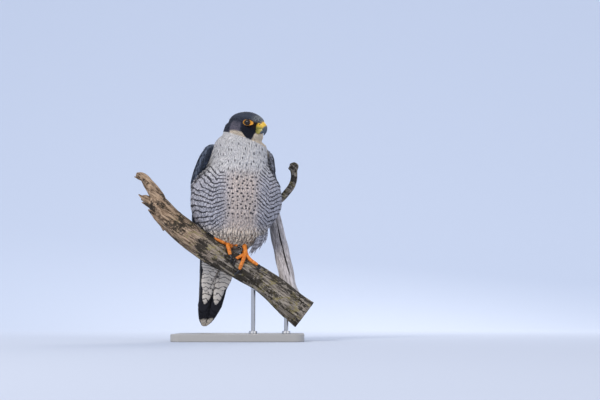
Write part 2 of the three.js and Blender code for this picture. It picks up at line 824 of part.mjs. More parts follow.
function footForm(foot) {
  const ankle = ballAt(onBranch(foot.x, foot.around, 4.2), 6.2, 12, 8);
  const toes = foot.toes.map((toe) => toeForm(toe, foot));
  return tidied(wasm.Manifold.union([tarsusForm(foot), ankle, ...toes]).subtract(branchCut));
}

function thighForm(foot) {
  const [l, f, u] = foot.knee;
  const geometry = new THREE.SphereGeometry(1, 12, 8);
  return solid(
    warp(geometry, (p) => {
      const narrow = p.y < 0 ? 1 - 0.45 * p.y * p.y : 1;
      return place(
        l + p.x * 16 * narrow,
        f - 7 + p.z * 16 * narrow,
        u + 8 + p.y * 26,
      );
    }),
  );
}

// Stand
function standBase() {
  const { halfX, halfY, thick, middleY, corner } = BASE;
  const outline = new THREE.Shape();
  const x = halfX - corner;
  const y = halfY - corner;
  outline.absarc(x, y, corner, 0, Math.PI / 2);
  outline.absarc(-x, y, corner, Math.PI / 2, Math.PI);
  outline.absarc(-x, -y, corner, Math.PI, 1.5 * Math.PI);
  outline.absarc(x, -y, corner, 1.5 * Math.PI, 2 * Math.PI);
  outline.closePath();
  const settings = { depth: thick, bevelEnabled: false, curveSegments: 6 };
  const geometry = new THREE.ExtrudeGeometry(outline, settings);
  geometry.translate(0, middleY, 0);
  return solid(geometry);
}

function standRod({ x, y, radius }) {
  const top = tableAt(BRANCH_LINE, x)[2];
  const bottom = BASE.thick + GAP;
  const geometry = new THREE.CylinderGeometry(radius, radius, top - bottom, 20);
  geometry.rotateX(Math.PI / 2);
  geometry.translate(x, y, (top + bottom) / 2);
  return solid(geometry);
}

// Assembly
const group = new THREE.Group();

function add(name, body, color, roughness, metalness = 0) {
  const mesh = tidied(body).getMesh();
  const count = mesh.vertProperties.length / mesh.numProp;
  const position = new Float32Array(count * 3);
  for (let i = 0; i < count; i += 1) {
    position.set(mesh.vertProperties.subarray(i * mesh.numProp, i * mesh.numProp + 3), i * 3);
  }
  const geometry = new THREE.BufferGeometry();
  geometry.setAttribute("position", new THREE.BufferAttribute(position, 3));
  geometry.setIndex(new THREE.BufferAttribute(new Uint32Array(mesh.triVerts), 1));
  geometry.computeVertexNormals();
  const material = new THREE.MeshStandardMaterial({ color, roughness, metalness });
  const piece = new THREE.Mesh(geometry, material);
  piece.name = name;
  group.add(piece);
}

const COLORS = {
  breast: 0xd8d3d0,
  slate: 0x4a525e,
  hood: 0x2b2f38,
  tail: 0x26282d,
  yellow: 0xe0a52c,
  orange: 0xf08a2a,
  horn: 0x4d5a66,
  black: 0x141416,
  eye: 0x1a100c,
  wood: 0x8c8072,
  cutWood: 0x9a8c7a,
  base: 0xd9d6cf,
  steel: 0xb8bcc0,
};

const brokenEnds = [woodForm(SPIKE_LINE, 9, 8), woodForm(STUB_LINE, 9, 6)];
const branch = tidied(wasm.Manifold.union([woodForm(BRANCH_LINE, 14, 22), ...brokenEnds]));
const branchCut = inflated(branch);
const toeRoom = inflated(woodForm(BRANCH_LINE, 10, 10), TOE_ROOM);
const shadeOfBranch = wasm.Manifold.union([0, -16, -32, -48].map((y) => toeRoom.translate([0, y, 0])));
const head = headForm();
const upperBill = billForm(BILL_LINE);
const upperBillCut = inflated(upperBill);
const lowerBill = billForm(LOWER_BILL_LINE);
const body = bodyForm();
const bodyCut = inflated(body);
const thighs = { L: thighForm(FEET.L), R: thighForm(FEET.R) };
thighs.L = thighs.L.subtract(inflated(thighs.R));
const feet = { L: footForm(FEET.L), R: footForm(FEET.R) };
const footCuts = { L: inflated(feet.L, FOOT_ROOM), R: inflated(feet.R, FOOT_ROOM) };

const claws = {};
const clawRoom = wasm.Manifold.union([inflated(feet.L), inflated(feet.R), branchCut]);
["L", "R"].forEach((key) => {
  claws[key] = FEET[key].toes.map((toe) => tidied(clawForm(toe, FEET[key]).subtract(clawRoom)));
});
const clawCuts = [...claws.L, ...claws.R].map((claw) => inflated(claw));
const legCuts = [inflated(thighs.L), inflated(thighs.R), footCuts.L, footCuts.R, ...clawCuts];
const headCut = inflated(head);
const torsoCuts = [...legCuts, shadeOfBranch, headCut, slab(NECK_CUT - GAP / 2, 300)];
const plumed = wasm.Manifold.union([body, ...flankPlumes()]);
add("torso", plumed.subtract(wasm.Manifold.union(torsoCuts)), COLORS.breast, 0.9);
const neckCuts = [slab(-300, NECK_CUT + GAP / 2), headCut, upperBillCut, inflated(lowerBill)];
add("neck", body.subtract(wasm.Manifold.union(neckCuts)), COLORS.breast, 0.9);

const eyes = [1, -1].map((side) => ballAt(eyeCenter(side), EYE.radius));
const sockets = wasm.Manifold.union(eyes.map((eye) => inflated(eye)));
const withLids = wasm.Manifold.union([head, lidRing(1), lidRing(-1)]);
const faceCuts = [sockets, upperBillCut, inflated(lowerBill)];
add("head", withLids.subtract(wasm.Manifold.union(faceCuts)), COLORS.hood, 0.85);
add("eye_L", eyes[0], COLORS.eye, 0.1);
add("eye_R", eyes[1], COLORS.eye, 0.1);
const nostrils = wasm.Manifold.union([nostril(1), nostril(-1)]);
const cere = upperBill.subtract(aheadOf(CERE_FRONT - GAP / 2)).subtract(nostrils);
add("cere", cere.subtract(sockets), COLORS.yellow, 0.5);
add("bill_upper", upperBill.intersect(aheadOf(CERE_FRONT + GAP / 2)), COLORS.horn, 0.35);
add("bill_lower", lowerBill.subtract(upperBillCut).subtract(sockets), COLORS.horn, 0.4);

["L", "R"].forEach((key) => {
  const side = key === "L" ? 1 : -1;
  const wing = wasm.Manifold.union([wingArm(side), ...wingFeathers(side)]);
  add("wing_" + key, wing.subtract(wasm.Manifold.union([bodyCut, branchCut])), COLORS.slate, 0.8);
});
const tail = wasm.Manifold.union([tailBlock(), ...tailFeathers()]);
add("tail", tail.subtract(wasm.Manifold.union([bodyCut, branchCut])), COLORS.tail, 0.8);

["L", "R"].forEach((key) => {
  add("foot_" + key, feet[key], COLORS.orange, 0.6);
  claws[key].forEach((claw, i) => add("claw_" + key + "_" + (i + 1), claw, COLORS.black, 0.3));
  add("thigh_" + key, thighs[key].subtract(branchCut).subtract(footCuts[key]), COLORS.breast, 0.9);
});

const prong = woodForm(PRONG_LINE, 12, 12, PRONG_FLATNESS).subtract(branchCut);
add("perch_branch", branch, COLORS.wood, 0.95);
add("perch_prong", prong, COLORS.wood, 0.95);
add("perch_hook", woodForm(HOOK_LINE, 9, 12).subtract(inflated(prong)), COLORS.wood, 0.95);

add("stand_base", standBase(), COLORS.base, 0.5);
RODS.forEach((rod, i) => {
  add("stand_rod_" + (i + 1), standRod(rod).subtract(branchCut), COLORS.steel, 0.3, 1);
});

export default group;
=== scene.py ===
import math

import bmesh
import bpy
import numpy as np
from mathutils import Matrix, Vector
from mathutils.bvhtree import BVHTree
from mathutils.kdtree import KDTree
from mathutils.noise import noise as noiseAt


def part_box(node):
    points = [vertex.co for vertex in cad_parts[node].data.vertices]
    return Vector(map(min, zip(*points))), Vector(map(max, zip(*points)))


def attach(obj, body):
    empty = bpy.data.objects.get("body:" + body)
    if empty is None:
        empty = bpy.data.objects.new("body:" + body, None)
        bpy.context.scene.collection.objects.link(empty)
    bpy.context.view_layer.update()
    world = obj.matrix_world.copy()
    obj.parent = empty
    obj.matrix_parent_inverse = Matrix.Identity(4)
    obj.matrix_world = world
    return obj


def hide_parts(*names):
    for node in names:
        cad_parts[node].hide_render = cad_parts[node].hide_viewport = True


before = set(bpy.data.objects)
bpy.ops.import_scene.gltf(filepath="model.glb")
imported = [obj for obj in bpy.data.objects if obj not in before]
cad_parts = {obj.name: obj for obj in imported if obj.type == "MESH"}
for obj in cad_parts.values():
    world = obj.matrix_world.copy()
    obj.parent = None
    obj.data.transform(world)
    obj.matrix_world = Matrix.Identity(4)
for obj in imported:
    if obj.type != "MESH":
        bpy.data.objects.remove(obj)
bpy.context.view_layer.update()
mm = 0.001
draw = np.random.default_rng(7)


# Small numeric helpers

def lerp(a, b, t):
    return a + (b - a) * t


def smoothstep(x, low, high):
    t = np.clip((np.asarray(x, float) - low) / (high - low), 0, 1)
    return t * t * (3 - 2 * t)


def unit(vectors):
    return vectors / np.maximum(np.linalg.norm(vectors, axis=-1, keepdims=True), 1e-9)


def hermite(t, p1, p2, m1, m2):
    # between two points with their slopes
    t2, t3 = t * t, t * t * t
    return (2 * t3 - 3 * t2 + 1) * p1 + (t3 - 2 * t2 + t) * m1 + (3 * t2 - 2 * t3) * p2 + (t3 - t2) * m2


def tableAt(table, key):
    # rows of a table at values of its first column, smoothly interpolated
    rows = np.array(table, float)
    if rows[0, 0] > rows[-1, 0]:
        rows = rows[::-1]
    key = np.asarray(key, float)
    x = rows[:, 0]
    last = len(x) - 1
    i = np.clip(np.searchsorted(x, key, "right") - 1, 0, last - 1)
    span = (x[i + 1] - x[i])[..., None]
    t = np.clip((key[..., None] - x[i][..., None]) / span, 0, 1)
    p1, p2 = rows[i], rows[i + 1]
    slope = (p2 - p1) / span
    before = np.where((i > 0)[..., None], (p1 - rows[i - 1]) / (x[i] - x[i - 1])[..., None], slope)
    ahead = np.minimum(i + 2, last)
    after = (rows[ahead] - p2) / np.maximum(x[ahead] - x[i + 1], 1e-9)[..., None]
    after = np.where((i + 2 <= last)[..., None], after, slope)
    m1 = np.where(before * slope > 0, (before + slope) / 2, 0) * span
    m2 = np.where(slope * after > 0, (slope + after) / 2, 0) * span
    return hermite(t, p1, p2, m1, m2)


def flatOn(flow, normals):
    # the part of a direction that lies flat on a surface
    return unit(flow - normals * np.sum(flow * normals, axis=-1, keepdims=True))


def steady(*direction):
    # a lie for feathers: one direction, laid on the surface
    return lambda points, normals: flatOn(np.array(direction), normals)


def alike(sizes):
    # the same spacing, length, half width and rise for every feather
    return lambda points: [np.full(len(points), value) for value in sizes]


# The bird's own axes, as in its solids: left, forwards and up from the middle of its body, in millimetres

body = {"x": -10, "y": 18, "z": 266, "turn": math.radians(14), "tailSway": 0.192}


def place(l, f, u):
    l, f, u = np.broadcast_arrays(np.asarray(l, float), np.asarray(f, float), np.asarray(u, float))
    swayed = l - body["tailSway"] * np.maximum(0, -20 - u) * smoothstep(-f, 10, 40)
    s, c = math.sin(body["turn"]), math.cos(body["turn"])
    return np.stack([body["x"] + f * s + swayed * c, body["y"] - f * c + swayed * s, body["z"] + u], -1)


def bodyAxes(points):
    # left, forwards and up of points in the world
    s, c = math.sin(body["turn"]), math.cos(body["turn"])
    dx, dy = points[..., 0] - body["x"], points[..., 1] - body["y"]
    return dx * c + dy * s, dx * s - dy * c, points[..., 2] - body["z"]


head = {"x": 16, "y": -8, "z": 410, "turn": math.radians(58), "pitch": math.radians(11)}


def headAxes():
    turn, pitch = head["turn"], head["pitch"]
    level = math.cos(pitch)
    forward = np.array([math.sin(turn) * level, -math.cos(turn) * level, -math.sin(pitch)])
    left = np.array([math.cos(turn), math.sin(turn), 0])
    return forward, left, np.cross(forward, left)


headForward, headLeft, headUp = headAxes()
headMiddle = np.array([head["x"], head["y"], head["z"]], float)


def headPlace(f, l, u):
    f, l, u = np.broadcast_arrays(np.asarray(f, float), np.asarray(l, float), np.asarray(u, float))
    return headMiddle + f[..., None] * headForward + l[..., None] * headLeft + u[..., None] * headUp


def inHead(points):
    d = points - headMiddle
    return d @ headForward, d @ headLeft, d @ headUp


# Meshes

def meshFromBmesh(name, work, smooth=True):
    mesh = bpy.data.meshes.new(name)
    work.to_mesh(mesh)
    work.free()
    if smooth:
        mesh.polygons.foreach_set("use_smooth", [True] * len(mesh.polygons))
    piece = bpy.data.objects.new(name, mesh)
    bpy.context.scene.collection.objects.link(piece)
    return piece


def meshFromArrays(name, verts, quads, caps, uvs, floats):
    # one joined mesh of many small things; verts in millimetres
    mesh = bpy.data.meshes.new(name)
    loops = np.concatenate([quads.reshape(-1), caps.reshape(-1)])
    starts = [np.arange(len(quads)) * 4, len(quads) * 4 + np.arange(len(caps)) * caps.shape[1]]
    starts = np.concatenate(starts)
    mesh.vertices.add(len(verts))
    mesh.vertices.foreach_set("co", (verts * mm).astype(np.float32).ravel())
    mesh.loops.add(len(loops))
    mesh.loops.foreach_set("vertex_index", loops.astype(np.int32))
    mesh.polygons.add(len(starts))
    mesh.polygons.foreach_set("loop_start", starts.astype(np.int32))
    mesh.polygons.foreach_set("use_smooth", [True] * len(starts))
    mesh.update(calc_edges=True)
    for key, values in uvs.items():
        layer = mesh.uv_layers.new(name=key)
        layer.uv.foreach_set("vector", values[loops].astype(np.float32).ravel())
    for key, values in floats.items():
        mesh.attributes.new(key, "FLOAT", "POINT").data.foreach_set("value", values.astype(np.float32))
    mesh.validate()
    piece = bpy.data.objects.new(name, mesh)
    bpy.context.scene.collection.objects.link(piece)
    return piece


def finish(piece, slot, material, *nodes):
    piece.data.materials.clear()
    piece.data.materials.append(material)
    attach(piece, "root")
    if nodes:
        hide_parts(*nodes)
    return piece


tuft = {"bury": 0.5, "thick": 0.2, "camber": 0.08, "patch": 0.003}


def featherRows(name, mids, halves, normals, camber, thick, columns, roots=None, fray=0):
    # closed thin feathers: mids, halves and normals are (feather, row, 3)
    # without roots each feather has a strip of its own in the unwrap
    count, rows = mids.shape[:2]
    seeds = draw.random(count)
    across = np.linspace(-1, 1, columns)
    wide = np.linalg.norm(halves, axis=-1)
    thick = np.broadcast_to(thick, (count, rows))[..., None]
    top = mids[:, :, None] + halves[:, :, None] * across[:, None]
    bulge = (camber * wide)[..., None] * (1 - across ** 2)
    top = top + normals[:, :, None] * bulge[..., None]
    inner = across[1:-1][::-1]
    low = mids[:, :, None] + halves[:, :, None] * inner[:, None]
    lowBulge = (camber * wide)[..., None] * (1 - inner ** 2) - thick * (1 - inner ** 2) ** 0.5
    low = low + normals[:, :, None] * lowBulge[..., None]
    ring = np.concatenate([top, low], 2)
    sides = ring.shape[2]
    if fray:  # the barbs at the tip end unevenly
        loose = draw.uniform(-fray, fray, (count, 2, sides))
        along = unit(np.gradient(mids, axis=1))
        ring[:, -2:] += along[:, -2:, None] * loose[..., None] * np.array([0.4, 1.0])[:, None, None]
    base = (np.arange(count)[:, None, None] * rows + np.arange(rows - 1)[None, :, None]) * sides
    j = np.arange(sides)[None, None, :]
    k = (j + 1) % sides
    quads = np.stack([base + j, base + k, base + sides + k, base + sides + j], -1).reshape(-1, 4)
    first = np.arange(count)[:, None] * rows * sides
    ends = np.arange(sides)[None, :]
    caps = np.concatenate([first + ends[:, ::-1], first + (rows - 1) * sides + ends], 0)
    s = np.concatenate([across, inner]) * 0.5 + 0.5
    t = np.linspace(0, 1, rows)
    vane = np.stack(np.broadcast_arrays(s[None, :], t[:, None]), -1)
    vane = np.broadcast_to(vane, (count, rows, sides, 2)).reshape(-1, 2)
    if roots is None:
        grid = math.ceil(math.sqrt(count / 4))
        line = math.ceil(count / grid)
        order = np.arange(count)
        strip = np.stack([(order % line + 0.5) / line, (order // line + 0.5) / grid], -1)
        size = np.array([0.8 / line, 0.9 / grid])
        bake = strip[:, None, :] + (vane.reshape(count, -1, 2) - 0.5) * size
    else:
        bake = roots[:, None, :] + (vane.reshape(count, -1, 2) - 0.5) * tuft["patch"]
    uvs = {"OFBake": bake.reshape(-1, 2), "vane": vane}
    floats = {"seed": np.repeat(seeds, rows * sides)}
    return meshFromArrays(name, ring.reshape(-1, 3), quads, caps, uvs, floats)


def sideUnwrap(piece, x, wide, z, high):
    # seen from the front: x and z in millimetres, over a width and a height
    uv = piece.data.uv_layers.new(name="OFBake")
    for loop in piece.data.loops:
        co = piece.data.vertices[loop.vertex_index].co / mm
        uv.uv[loop.index].vector = (0.5 + (co.x - x) / wide, (co.z - z) / high)


# Shader helpers: a Value is a number, colour or place in a node tree, and sums of Values make its nodes

def plug(node, index, value):
    socket = node.inputs[index]
    if isinstance(value, Value):
        node.id_data.links.new(value.socket, socket)
    elif value is not None:
        socket.default_value = (*value, 1) if socket.type == "RGBA" else value


class Value:
    def __init__(self, socket):
        self.socket = socket

    def node(self, kind):
        return self.socket.id_data.nodes.new(kind)

    def calc(self, operation, first, second=None):
        node = self.node("ShaderNodeMath")
        node.operation = operation
        plug(node, 0, first)
        plug(node, 1, second)
        return Value(node.outputs[0])

    def __add__(self, other):
        return self.calc("ADD", self, other)

    def __sub__(self, other):
        return self.calc("SUBTRACT", self, other)

    def __rsub__(self, other):
        return self.calc("SUBTRACT", other, self)

    def __mul__(self, other):
        return self.calc("MULTIPLY", self, other)

    def __truediv__(self, other):
        return self.calc("DIVIDE", self, other)

    def __abs__(self):
        return self.calc("ABSOLUTE", self)

    def atLeast(self, other):
        return self.calc("MAXIMUM", self, other)

    def atMost(self, other):
        return self.calc("MINIMUM", self, other)

    def wave(self, step):
        # from 0 to 0.5 and back once in each step
        return self.calc("PINGPONG", self / step, 0.5)

    def ramp(self, low, high):
        # 0 at low and 1 at high, smooth between; low may be the larger of the two
        node = self.node("ShaderNodeMapRange")
        node.interpolation_type = "SMOOTHSTEP"
        limits = (min(low, high), max(low, high), float(low > high), float(low < high))
        for index, value in enumerate((self, *limits)):
            plug(node, index, value)
        return Value(node.outputs[0])

    def vector(self, operation, other=None, scale=None):
        node = self.node("ShaderNodeVectorMath")
        node.operation = operation
        for index, value in ((0, self), (1, other), (3, scale)):
            plug(node, index, value)
        return Value(node.outputs["Value" if operation in ("DOT_PRODUCT", "LENGTH") else "Vector"])

    def dot(self, axis):
        return self.vector("DOT_PRODUCT", tuple(axis))

    def minus(self, spot):
        return self.vector("SUBTRACT", tuple(spot))

    def scaled(self, factor):
        return self.vector("SCALE", scale=factor)

    def parts(self):
        node = self.node("ShaderNodeSeparateXYZ")
        plug(node, 0, self)
        return [Value(socket) for socket in node.outputs]


def joined(x, y, z=0.0):
    node = x.node("ShaderNodeCombineXYZ")
    for index, value in enumerate((x, y, z)):
        plug(node, index, value)
    return Value(node.outputs[0])


def noise(place, scale, detail=2.0, roughness=0.5):
    node = place.node("ShaderNodeTexNoise")
    for key, value in (("Vector", place), ("Scale", scale), ("Detail", detail), ("Roughness", roughness)):
        plug(node, key, value)
    return Value(node.outputs[0])


def cells(place, scale, randomness=1.0, dimensions="2D"):
    # the distance from the middle of the nearest cell, and a random number for that cell
    node = place.node("ShaderNodeTexVoronoi")
    node.voronoi_dimensions = dimensions
    for key, value in (("Vector", place), ("Scale", scale), ("Randomness", randomness)):
        plug(node, key, value)
    return Value(node.outputs["Distance"]), Value(node.outputs["Color"]).parts()[0]


def blend(amount, a, b, kind="MIX"):
    host = next(value for value in (amount, a, b) if isinstance(value, Value))
    node = host.node("ShaderNodeMix")
    node.data_type = "RGBA"
    node.blend_type = kind
    for index, value in ((0, amount), (6, a), (7, b)):
        plug(node, index, value)
    return Value(node.outputs[2])


def shaded(colour, amount, low, high):
    return blend(1.0, colour, blend(amount, (low,) * 3, (high,) * 3), "MULTIPLY")


def times(colour, factor):
    return tuple(part * factor for part in colour)


def shaderGroup(name, inputs, outputs):
    tree = bpy.data.node_groups.new(name, "ShaderNodeTree")
    for key, kind in inputs.items():
        tree.interface.new_socket(key, in_out="INPUT", socket_type=kind)
    for key, kind in outputs.items():
        tree.interface.new_socket(key, in_out="OUTPUT", socket_type=kind)
    start = tree.nodes.new("NodeGroupInput")
    return [Value(start.outputs[key]) for key in inputs], tree.nodes.new("NodeGroupOutput")


def newMaterial(name, roughness, specular=0.5):
    material = bpy.data.materials.new(name)
    material.use_nodes = True
    shader = material.node_tree.nodes["Principled BSDF"]
    shader.inputs["Roughness"].default_value = roughness
    shader.inputs["Specular IOR Level"].default_value = specular
    point = Value(material.node_tree.nodes.new("ShaderNodeTexCoord").outputs["Object"])
    return material, shader, point


def bumpInto(shader, height, distance, strength=1.0):
    node = height.node("ShaderNodeBump")
    for key, value in (("Strength", strength), ("Distance", distance), ("Height", height)):
        plug(node, key, value)
    plug(shader, "Normal", Value(node.outputs[0]))


def vaneAt(shader):
    # across a feather from 0 to 1, and from its root to its tip
    node = shader.id_data.nodes.new("ShaderNodeUVMap")
    node.uv_map = "vane"
    return Value(node.outputs[0]).parts()[:2]


def seedOf(shader):
    node = shader.id_data.nodes.new("ShaderNodeAttribute")
    node.attribute_name = "seed"
    return Value(node.outputs["Fac"])


def headMask(point):
    # forwards, left and up from the middle of the head, in millimetres
    fromHead = point.scaled(1000.0).minus(headMiddle)
    return [fromHead.dot(axis) for axis in (headForward, headLeft, headUp)]


def bodyMask(point):
    # left, forwards and up from the middle of the body, in millimetres
    fromBody = point.scaled(1000.0).minus((body["x"], body["y"], body["z"]))
    s, c = math.sin(body["turn"]), math.cos(body["turn"])
    return [fromBody.dot(axis) for axis in ((c, s, 0), (s, -c, 0), (0, 0, 1))]


# Plumage markings: one group, for the skin and for every small feather on it

plumage = {
    # flank is a cooler, darker white: painted shade on the body's sides
    "white": (0.68, 0.665, 0.655), "flank": (0.54, 0.53, 0.57), "warm": (0.69, 0.59, 0.53),
    "vent": (0.66, 0.565, 0.45), "mark": (0.035, 0.033, 0.040), "cream": (0.68, 0.58, 0.45),
    "hood": (0.016, 0.020, 0.036), "crown": (0.042, 0.052, 0.078), "malar": (0.007, 0.009, 0.018),
    "ear": (0.14, 0.13, 0.165), "forehead": (0.27, 0.29, 0.29), "lore": (0.022, 0.014, 0.011),
    "slate": (0.085, 0.105, 0.15), "slateDark": (0.028, 0.034, 0.052), "slateEdge": (0.26, 0.30, 0.37),
    "barStep": 7.6, "spotWide": 8.2, "spotHigh": 7.6, "dropWide": 6.6, "dropHigh": 20.0, "thinStep": 7.0,
    "slateStep": 9.0, "girth": 66.0, "girthMiddle": 12.0, "turnLine": 52.0, "pointLine": 57.0,
}


def chestColour(point, left, front, up, across, jitter, wander):
    # a white breast with narrow drops, a spotted belly and wavy bars on the flanks
    girth = left.calc("ARCTAN2", left, front + plumage["girthMiddle"]) * plumage["girth"]
    spot, _ = cells(joined(girth / plumage["spotWide"], up / plumage["spotHigh"]), 1.0, 0.6)
    spots = (spot + wander * 0.25).ramp(0.28, 0.19) * up.ramp(56, 34) * up.ramp(-58, -26)
    drop, chance = cells(joined(girth / plumage["dropWide"], up / plumage["dropHigh"]), 1.0, 0.85)
    drops = drop.ramp(0.17, 0.11) * chance.ramp(0.3, 0.36) * up.ramp(34, 52) * up.ramp(114, 100)

    # the bars of the right flank slope down inwards by the wing and turn at a line; the left flank's make a V
    fromTurn = left + plumage["turnLine"] - (up - 20.0).atLeast(0.0).atMost(50.0) * 0.5
    rightLean = fromTurn.atMost(0.0) * (up * 0.0105 + 0.36) + fromTurn.atLeast(0.0) * (up * 0.008 - 0.30)
    fromPoint = left - plumage["pointLine"]
    leftLean = fromPoint.atMost(0.0) * 0.8 + fromPoint.atLeast(0.0) * -0.42
    toLeft = left.ramp(-4, 4)
    lean = rightLean * (1.0 - toLeft) + leftLean * toLeft
    scallop = (across - 0.5) * (across - 0.5) * 3.0
    bent = wander * 9.0 + jitter * 0.9 + scallop
    wave = (up + lean + bent).wave(plumage["barStep"]) + (noise(point, 170, 2) - 0.5) * 0.2 + wander * 0.25
    strayed = left + wander * 22.0
    side = strayed.ramp(31, 37).atLeast(strayed.ramp(-26, -31))
    reach = side * (up - (abs(left) - 40.0).atLeast(0.0) * 1.2 + wander * 16.0).ramp(58, 48)
    vent = up.ramp(-46, -74)
    bars = wave.ramp(0.31, 0.385) * reach * (1.0 - vent * 0.6)
    thin = (up + bent).wave(plumage["thinStep"]).ramp(0.38, 0.46) * vent * 0.5
    clear = 1.0 - reach
    marks = (spots * (1.0 - vent * 0.8) * clear).atLeast(drops * clear).atLeast(bars).atLeast(thin)

    # the sides get the flank colour, which is painted shade, and the middle gets the warm colour
    base = blend(left.ramp(-42, -12) * left.ramp(46, 18), plumage["flank"], plumage["warm"])
    base = blend(up.ramp(28, 66), base, plumage["white"])
    base = blend(up.ramp(-40, -78), base, plumage["vent"])
    base = shaded(base, jitter + 0.5, 0.94, 1.06)
    return blend(marks * 0.92, base, plumage["mark"])


def slateColour(up, across, along, jitter):
    # slate feathers with darker bars and paler rims
    rim = along.ramp(0.80, 0.97).atLeast(abs(across - 0.5).ramp(0.34, 0.48))
    bars = (up + jitter * 5.0).wave(plumage["slateStep"]).ramp(0.28, 0.42)
    colour = blend(bars * 0.55, plumage["slate"], plumage["slateDark"])
    return blend(rim * 0.6, colour, plumage["slateEdge"]), rim


def headColour(hf, hl, hu, rim, jitter, ragged, mottle):
    # the hood with its malar patch, ear, cheek, throat, lore and forehead; places from the middle of the head
    colour = blend(hu.ramp(4, 16), plumage["hood"], plumage["crown"])
    colour = blend(rim * 0.35, colour, times(plumage["crown"], 1.5))
    colour = shaded(colour, jitter + 0.5, 0.8, 1.25)
    along = hf + ragged
    ear = (hu + ragged * 1.6).ramp(3, -4) * along.ramp(3, -2) * along.ramp(-24, -17) * hl.ramp(8, 14)
    colour = blend(ear * (mottle.ramp(0.3, 0.65) * 0.5 + 0.5), colour, plumage["ear"])
    fromBack = hf + ragged * 0.6 - (hu * -1.0 - 16.0).atLeast(0.0) * 0.72 - 3.3
    toFront = (hu * -1.0 - 15.0).atLeast(0.0) * -0.3 + 22.5 - hf - ragged * 0.6
    cheek = (hu + ragged).ramp(-15, -19) * (hf + ragged).ramp(-20, -16) * fromBack.ramp(1, -1)
    colour = blend(cheek * 0.9, colour, plumage["cream"])
    throat = (hu + ragged).ramp(-9, -13) * toFront.ramp(1, -1)
    colour = blend(throat, colour, times(plumage["cream"], 1.06))
    rounded = hu + (hf - 12.0) * (hf - 12.0) * -0.03 + ragged * 0.4
    malar = fromBack.ramp(-1, 1) * toFront.ramp(-1, 1) * rounded.ramp(-27, -25) * hu.ramp(2, -6)
    colour = blend(malar, colour, plumage["malar"])
    lore = hf.ramp(17, 20) * hu.ramp(-9, -5) * hu.ramp(7, 4)
    colour = blend(lore, colour, plumage["lore"])
    forehead = (hf + ragged).ramp(13, 24) * (hu + ragged * 0.5).ramp(3, 7) * hu.ramp(26, 15)
    return blend(forehead * (mottle.ramp(0.36, 0.62) * 0.75 + 0.1), colour, plumage["forehead"])


def markingsGroup():
    inputs = {"Point": "NodeSocketVector"}
    inputs |= dict.fromkeys(("Seed", "Across", "Along", "Chest"), "NodeSocketFloat")
    outputs = {"Color": "NodeSocketColor", "Barbs": "NodeSocketFloat"}
    (point, seed, across, along, chest), end = shaderGroup("falcon markings", inputs, outputs)
    millimetres = point.scaled(1000.0)
    left, front, up = bodyMask(point)
    hf, hl, hu = headMask(point)
    jitter = seed - 0.5
    wander = noise(point, 60, 2) - 0.5
    ragged = wander * 7.0

    colour = chestColour(point, left, front, up, across, jitter, wander)
    slate, rim = slateColour(up, across, along, jitter)
    behind = (front + wander * 12.0).ramp(-12, -22) * up.ramp(-96, -80) * (1.0 - chest)
    colour = blend(behind, colour, slate)
    face = headColour(hf, abs(hl), hu, rim, jitter, ragged, noise(point, 330, 3, 0.6))
    collar = millimetres.dot((0.35, 0, 1)) + ragged * 0.5
    nape = millimetres.parts()[1].ramp(8, 20)
    hooded = collar.ramp(383.5, 386) * (1.0 - nape) + collar.ramp(368, 374) * nape
    colour = blend(hooded, colour, face)

    barbs = noise(joined(across * 9.0, along * 1.5, seed * 90.0), 1.0, 2)
    colour = shaded(colour, barbs, 0.82, 1.16)
    # painted shadow: every feather a little darker towards its root, where the feathers over it shade it
    colour = shaded(colour, along.ramp(0.5, 0.1), 1.0, 0.88)
    plug(end, "Color", colour)
    plug(end, "Barbs", barbs)
    return end.id_data


falconMarkings = markingsGroup()


def plumageMaterial(name, onSkin=False, chest=0.0):
    material, shader, point = newMaterial(name, 0.8, 0.2)
    node = point.node("ShaderNodeGroup")
    node.node_tree = falconMarkings
    across, along = (0.5, 0.5) if onSkin else vaneAt(shader)
    seed = 0.5 if onSkin else seedOf(shader)
    for index, value in enumerate((point, seed, across, along, chest)):
        plug(node, index, value)
    plug(shader, "Base Color", Value(node.outputs["Color"]))
    shader.inputs["Sheen Weight"].default_value = 0.05
    bumpInto(shader, Value(node.outputs["Barbs"]), 0.0003, 0.4)
    return material


skinPaint = plumageMaterial("plumage skin", True)
coatPaint = plumageMaterial("plumage feathers")
chestPaint = plumageMaterial("chest plumage feathers", chest=1.0)
print("markings ready")


# Middle lines of the wood, with its radius: the branch and what stands on it are placed along them

